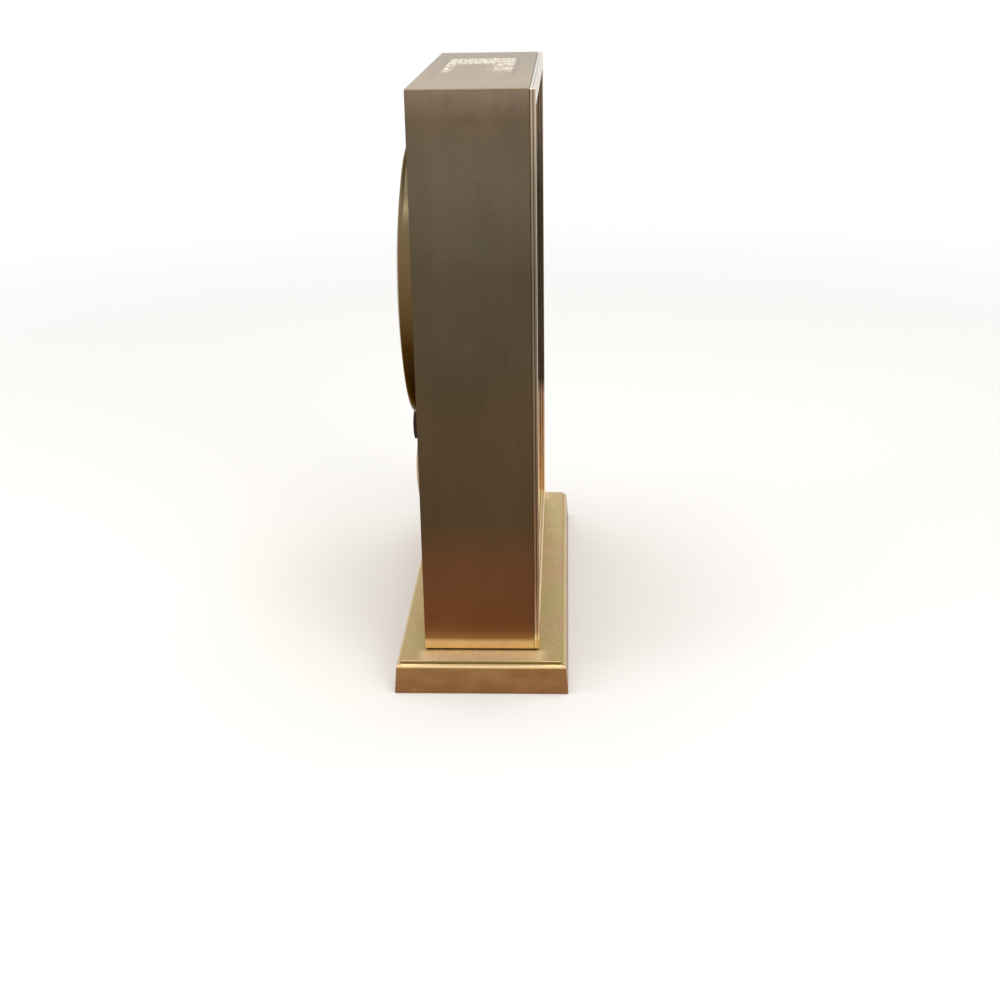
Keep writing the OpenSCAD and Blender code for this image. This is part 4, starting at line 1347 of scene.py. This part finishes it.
@dataclass
class Dial(SubAssembly):
    """The dial plate with its ring, batons, printed track and plain numbers."""

    title: str = "dial"
    body: str = "clock"
    ink: float = 0.05
    sunk: float = 0.02
    track: Pair = (73.6, 77.0)
    track_steps: int = 180
    line: float = 0.22
    stroke: float = 0.8
    hour_stroke: float = 1.6
    stroke_lift: float = 0.005
    number_r: float = 46.0
    number_size: float = 11.475
    number_sunk: float = 0.01
    curve_steps: int = 6

    def build(self) -> None:
        """Dress the plates and print the dial."""
        self.dress(DialLacquer(), "dial_plate")
        self.dress(DialLacquer("ring_silver", tone(212, 208, 196), tone(196, 190, 174)),
                   "chapter_ring")
        enamel = self.dress(Moulded("black_enamel", tone(22, 21, 20), tone(40, 37, 34),
                                    roughness=0.18, pores=3.0, depth=0.01, coat=0.5),
                            "hour_markers")
        self.dress(Steel("dial_steel"), "dial_screws")
        self.print_track(enamel)
        self.print_numbers(enamel)

    def front_of(self, node: str) -> float:
        """Give the depth of a node's front in millimetres."""
        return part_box(node)[0][1] / MM

    def print_track(self, ink: bpy.types.Material) -> None:
        """Print sixty minute strokes between two thin circles on the ring.

        Args:
            ink: The material of the print.
        """
        shape, centre = bmesh.new(), middle("chapter_ring")
        front = self.front_of("chapter_ring") - self.ink
        back = self.front_of("chapter_ring") + self.sunk
        low, high = self.track
        for radius in (low, high):
            inner, outer = radius - self.line / 2, radius + self.line / 2
            lathe(shape, centre, [(inner, front), (outer, front), (outer, back), (inner, back)],
                  self.track_steps)
        for minute in range(MINUTES):
            angle = math.radians(DEGREES_PER_MINUTE * minute)
            half = self.line * (self.stroke if minute % MINUTES_PER_BATON else self.hour_stroke)
            along = (math.sin(angle), math.cos(angle))
            across = (math.cos(angle), -math.sin(angle))
            corners = [tuple(centre[k] + r * along[k] + s * half * across[k] for k in (0, 1))
                       for r, s in ((low, -1), (high, -1), (high, 1), (low, 1))]
            prism(shape, corners, front - self.stroke_lift, back)
        self.place("minute_track", mesh_of("minute_track", shape), self.body, "black_enamel", ink)

    def print_numbers(self, ink: bpy.types.Material) -> None:
        """Print the four quarter numbers on the plate, inside the ring.

        Args:
            ink: The material of the print.
        """
        centre, plate = middle("chapter_ring"), self.front_of("dial_plate")
        for hour in (12, 3, 6, 9):
            text = bpy.data.curves.new(f"number_{hour}", "FONT")
            text.body = str(hour)
            text.size = self.number_size * MM
            text.align_x, text.align_y = "CENTER", "CENTER"
            text.extrude = self.ink * MM / 2
            text.resolution_u = self.curve_steps
            holder = bpy.data.objects.new(text.name, text)
            bpy.context.scene.collection.objects.link(holder)
            view = bpy.context.evaluated_depsgraph_get()
            mesh = bpy.data.meshes.new_from_object(holder.evaluated_get(view))
            bpy.data.objects.remove(holder)
            angle = math.radians(DEGREES_PER_HOUR * hour)
            spot = Vector((centre[0] + self.number_r * math.sin(angle),
                           plate - self.ink / 2 + self.number_sunk,
                           centre[1] + self.number_r * math.cos(angle))) * MM
            mesh.transform(Matrix.Translation(spot) @ Matrix.Rotation(math.pi / 2, 4, "X"))
            self.place(f"number_{hour}", mesh, self.body, "black_enamel", ink)


@dataclass
class Hands(SubAssembly):
    """The two hands with their nut."""

    title: str = "hands"

    def build(self) -> None:
        """Dress the hands."""
        self.dress(Moulded("hand_enamel", tone(20, 19, 18), tone(38, 35, 32), roughness=0.2,
                           pores=3.0, depth=0.01, coat=0.5), "hour_hand", "minute_hand")
        self.dress(BrightBrass("nut_brass", turned_at=middle("hand_nut")), "hand_nut")


@dataclass
class MotionWork(SubAssembly):
    """The wheels that drive and set the hands, with the knob."""

    title: str = "motion work"

    def build(self) -> None:
        """Dress the wheels, studs, arbor, bush and knob."""
        centre = middle("hand_nut")
        self.dress(WorkBrass("pinion_brass", turned_at=centre), "cannon_pinion")
        for node in ("minute_wheel", "setting_wheel", "set_bush"):
            self.dress(WorkBrass(f"{node}_brass", turned_at=middle(node)), node)
        self.dress(WorkBrass("hour_wheel_brass", turned_at=centre), "hour_wheel")
        self.dress(Steel("arbor_steel"), "motion_studs", "set_arbor")
        self.dress(Moulded("knob_plastic", tone(44, 36, 22), tone(58, 48, 30), roughness=0.55,
                           pores=1.6, gloss=0.2), "set_knob")


@dataclass
class GoingTrain(SubAssembly):
    """The plates and the wheels between them."""

    title: str = "movement"

    def build(self) -> None:
        """Dress the plates, pillars and wheels."""
        self.dress(WorkBrass("plate_brass"), "front_plate", "back_plate")
        self.dress(WorkBrass("pillar_brass", grain=Grain.ALONG_DEPTH), "plate_pillars",
                   "dial_pillars")
        self.dress(Steel("plate_steel"), "plate_screws", "fourth_wheel")
        for node in ("centre_wheel", "third_wheel", "index_wheel"):
            self.dress(WorkBrass(f"{node}_brass", turned_at=middle(node)), node)


@dataclass
class BalanceUnit(SubAssembly):
    """The driven balance with its bridge, coil and circuit board."""

    title: str = "balance"
    coil_turns: int = 9
    coil_ridge: float = 0.12
    ridge_steps: int = 4
    coil_bore_r: float = 2.6
    coil_steps: int = 64

    def build(self) -> None:
        """Dress the balance and what drives it."""
        centre = middle("balance_wheel")
        self.dress(WorkBrass("balance_brass", tone(222, 184, 108), turned_at=centre),
                   "balance_wheel", "balance_bridge", "bridge_posts")
        self.dress(Moulded("magnet_grey", tone(70, 70, 74), tone(54, 52, 52), roughness=0.4,
                           pores=1.4, depth=0.04, metal=0.6), "balance_magnets")
        self.dress(Steel("spring_steel", tone(120, 128, 150), tone(84, 88, 110)), "hairspring")
        self.dress(Steel("bridge_steel"), "bridge_screws", "regulator", "board_posts")
        self.dress(Moulded("board_laminate", tone(122, 76, 38), tone(98, 58, 28), roughness=0.45,
                           pores=1.8, depth=0.03, coat=0.15), "circuit_board")
        self.wind_coil()

    def wind_coil(self) -> None:
        """Wind the drive coil as a ring with the ridges of its turns."""
        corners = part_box("drive_coil")
        (left, low), (right, high) = ((corner[0] / MM, corner[1] / MM) for corner in corners)
        pitch = (high - low) / self.coil_turns
        section = []
        for turn in range(self.coil_turns):
            for step in range(self.ridge_steps):
                share = (step + 0.5) / self.ridge_steps
                dip = self.coil_ridge * (1 - math.sin(math.pi * share))
                section.append(((right - left) / 2 - dip, low + pitch * (turn + share)))
        section += [(self.coil_bore_r, high), (self.coil_bore_r, low)]
        shape = bmesh.new()
        lathe(shape, middle("drive_coil"), section, self.coil_steps)
        coil = self.place("coil_winding", mesh_of("coil_winding", shape, True), "clock",
                          "copper_wire", CopperWire().make())
        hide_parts("drive_coil")


@dataclass
class RearCover(SubAssembly):
    """The domed rear cover and its seat."""

    title: str = "rear cover"

    def build(self) -> None:
        """Dress the dome and its seat."""
        centre = middle("rear_dome")
        self.dress(DomeBrass(turned_at=centre), "rear_dome")
        self.dress(BrightBrass("seat_brass", roughness=0.26, turned_at=centre), "dome_seat")


@dataclass
class BatteryBox(SubAssembly):
    """The tray, cell, contacts, wires and ivory cover."""

    title: str = "battery box"
    edge: float = 0.35
    edge_steps: int = 3

    def build(self) -> None:
        """Dress the battery box."""
        self.dress(Moulded("ivory_plastic", tone(206, 188, 160), tone(196, 176, 146),
                           roughness=0.36, pores=1.4), "battery_tray", "battery_cover")
        self.soften("battery_cover", self.edge, self.edge_steps)
        self.dress(Moulded("cell_paint", tone(96, 102, 110), tone(84, 88, 94), roughness=0.3,
                           depth=0.01, coat=0.4, metal=0.3), "battery_cell")
        self.dress(Steel("contact_steel", tone(200, 196, 186)), "battery_contacts")
        self.dress(Moulded("wire_skin", tone(150, 34, 28), tone(128, 28, 24), roughness=0.45),
                   "battery_leads")


@dataclass(frozen=True)
class Lamp:
    """A square soft lamp: its place and aim and its side in metres, and its power in watts."""

    name: str
    spot: Triple
    aim: Triple
    side: float
    power: float
    mirrored: bool = True


@dataclass
class Studio(SubAssembly):
    """The pale floor, the soft lamps and the camera of the photograph."""

    title: str = "studio"
    eye: Triple = (-691.19, -38.63, 321.21)
    yaw: float = 0.04921
    pitch: float = 0.37144
    roll: float = 0.017544
    focal_px: float = 1450.0
    frame_px: float = 1000.0
    sensor: float = 36.0
    clip: Pair = (0.01, 50.0)
    floor_r: float = 9.0
    floor_steps: int = 96
    floor_tone: Colour = tone(236, 234, 230)
    fade: Pair = (0.35, 1.1)
    sky: float = 0.55
    lamps: tuple[Lamp, ...] = (
        Lamp("overhead", (0.0, 0.0, 1.5), (0.0, 0.0, 0.12), 1.3, 16.0),
        Lamp("side_left", (-1.2, -0.9, 0.9), (0.0, 0.0, 0.12), 0.8, 7.0),
        Lamp("side_right", (-0.5, 1.3, 0.7), (0.0, 0.0, 0.14), 0.8, 4.0, mirrored=False),
    )

    def build(self) -> None:
        """Make the stage, the lamps and the camera."""
        self.lay_floor()
        self.light_world()
        for lamp in self.lamps:
            self.hang_lamp(lamp)
        self.set_camera()

    def lay_floor(self) -> None:
        """Lay a wide round floor that fades to white, away from the object."""
        shape = bmesh.new()
        bmesh.ops.create_circle(shape, cap_ends=True, segments=self.floor_steps,
                                radius=self.floor_r / MM)
        floor = bpy.data.objects.new("floor", mesh_of("floor", shape))
        bpy.context.scene.collection.objects.link(floor)
        bench = Workbench("floor_paper")
        far = bench.node("VectorMath", operation="LENGTH")
        bench.feed(far.inputs[0], bench.where())
        share = bench.span(far.outputs["Value"], *(reach / MM for reach in self.fade))
        bench.blend(bench.times(share, bench.seen()), bench.shader.outputs[0],
                    bench.node("Emission").outputs[0], bench.output.inputs["Surface"])
        floor.data.materials.append(bench.finish(Base_Color=self.floor_tone, Roughness=0.9))
        LOG.info("%s: laid the floor", self.title)

    def light_world(self) -> None:
        """Light evenly all round, with a white background for the camera and for gloss."""
        world = bpy.data.worlds.new("studio")
        bpy.context.scene.world = world
        world.use_nodes = True
        bench = Tree(world.node_tree)
        light, white = (bench.node("Background") for _ in range(2))
        for background, strength in ((light, self.sky), (white, 1.0)):
            bench.fill(background, Strength=strength, Color=(1.0, 1.0, 1.0))
        bench.blend(bench.seen(), light.outputs[0], white.outputs[0],
                    bench.node("OutputWorld").inputs["Surface"])

    def hang_lamp(self, lamp: Lamp) -> None:
        """Hang a lamp.

        Args:
            lamp: Its settings.
        """
        panel = bpy.data.lights.new(lamp.name, "AREA")
        panel.shape = "SQUARE"
        panel.size = lamp.side
        panel.energy = lamp.power
        holder = bpy.data.objects.new(lamp.name, panel)
        holder.location = lamp.spot
        holder.visible_glossy = lamp.mirrored
        holder.rotation_mode = "QUATERNION"
        holder.rotation_quaternion = (Vector(lamp.aim) - Vector(lamp.spot)).to_track_quat("-Z", "Y")
        bpy.context.scene.collection.objects.link(holder)
        LOG.info("%s: hung %s", self.title, lamp.name)

    def set_camera(self) -> None:
        """Set the camera where the photograph was taken from."""
        ahead = Vector((math.cos(self.yaw) * math.cos(self.pitch),
                        math.sin(self.yaw) * math.cos(self.pitch), -math.sin(self.pitch)))
        level = Vector((math.sin(self.yaw), -math.cos(self.yaw), 0.0))
        down = ahead.cross(level)
        right = level * math.cos(self.roll) + down * math.sin(self.roll)
        below = down * math.cos(self.roll) - level * math.sin(self.roll)
        turn = Matrix((right, -below, -ahead)).transposed()
        data = bpy.data.cameras.new("camera")
        data.sensor_width = self.sensor
        data.lens = self.focal_px / self.frame_px * self.sensor
        data.clip_start, data.clip_end = self.clip
        camera = bpy.data.objects.new("camera", data)
        camera.rotation_mode = "QUATERNION"
        camera.matrix_world = Matrix.Translation(Vector(self.eye) * MM) @ turn.to_4x4()
        bpy.context.scene.collection.objects.link(camera)
        bpy.context.scene.camera = camera
        LOG.info("%s: set the camera", self.title)


def main() -> None:
    """Build every sub-assembly in order."""
    logging.basicConfig(level=logging.INFO, format="%(name)s: %(message)s")
    bpy.context.scene.view_settings.view_transform = "Standard"
    for group in (Studio(), Foot(), Case(), Window(), Dial(), Hands(), MotionWork(), GoingTrain(),
                  BalanceUnit(), RearCover(), BatteryBox()):
        group.build()


if __name__ == "__main__":
    main()
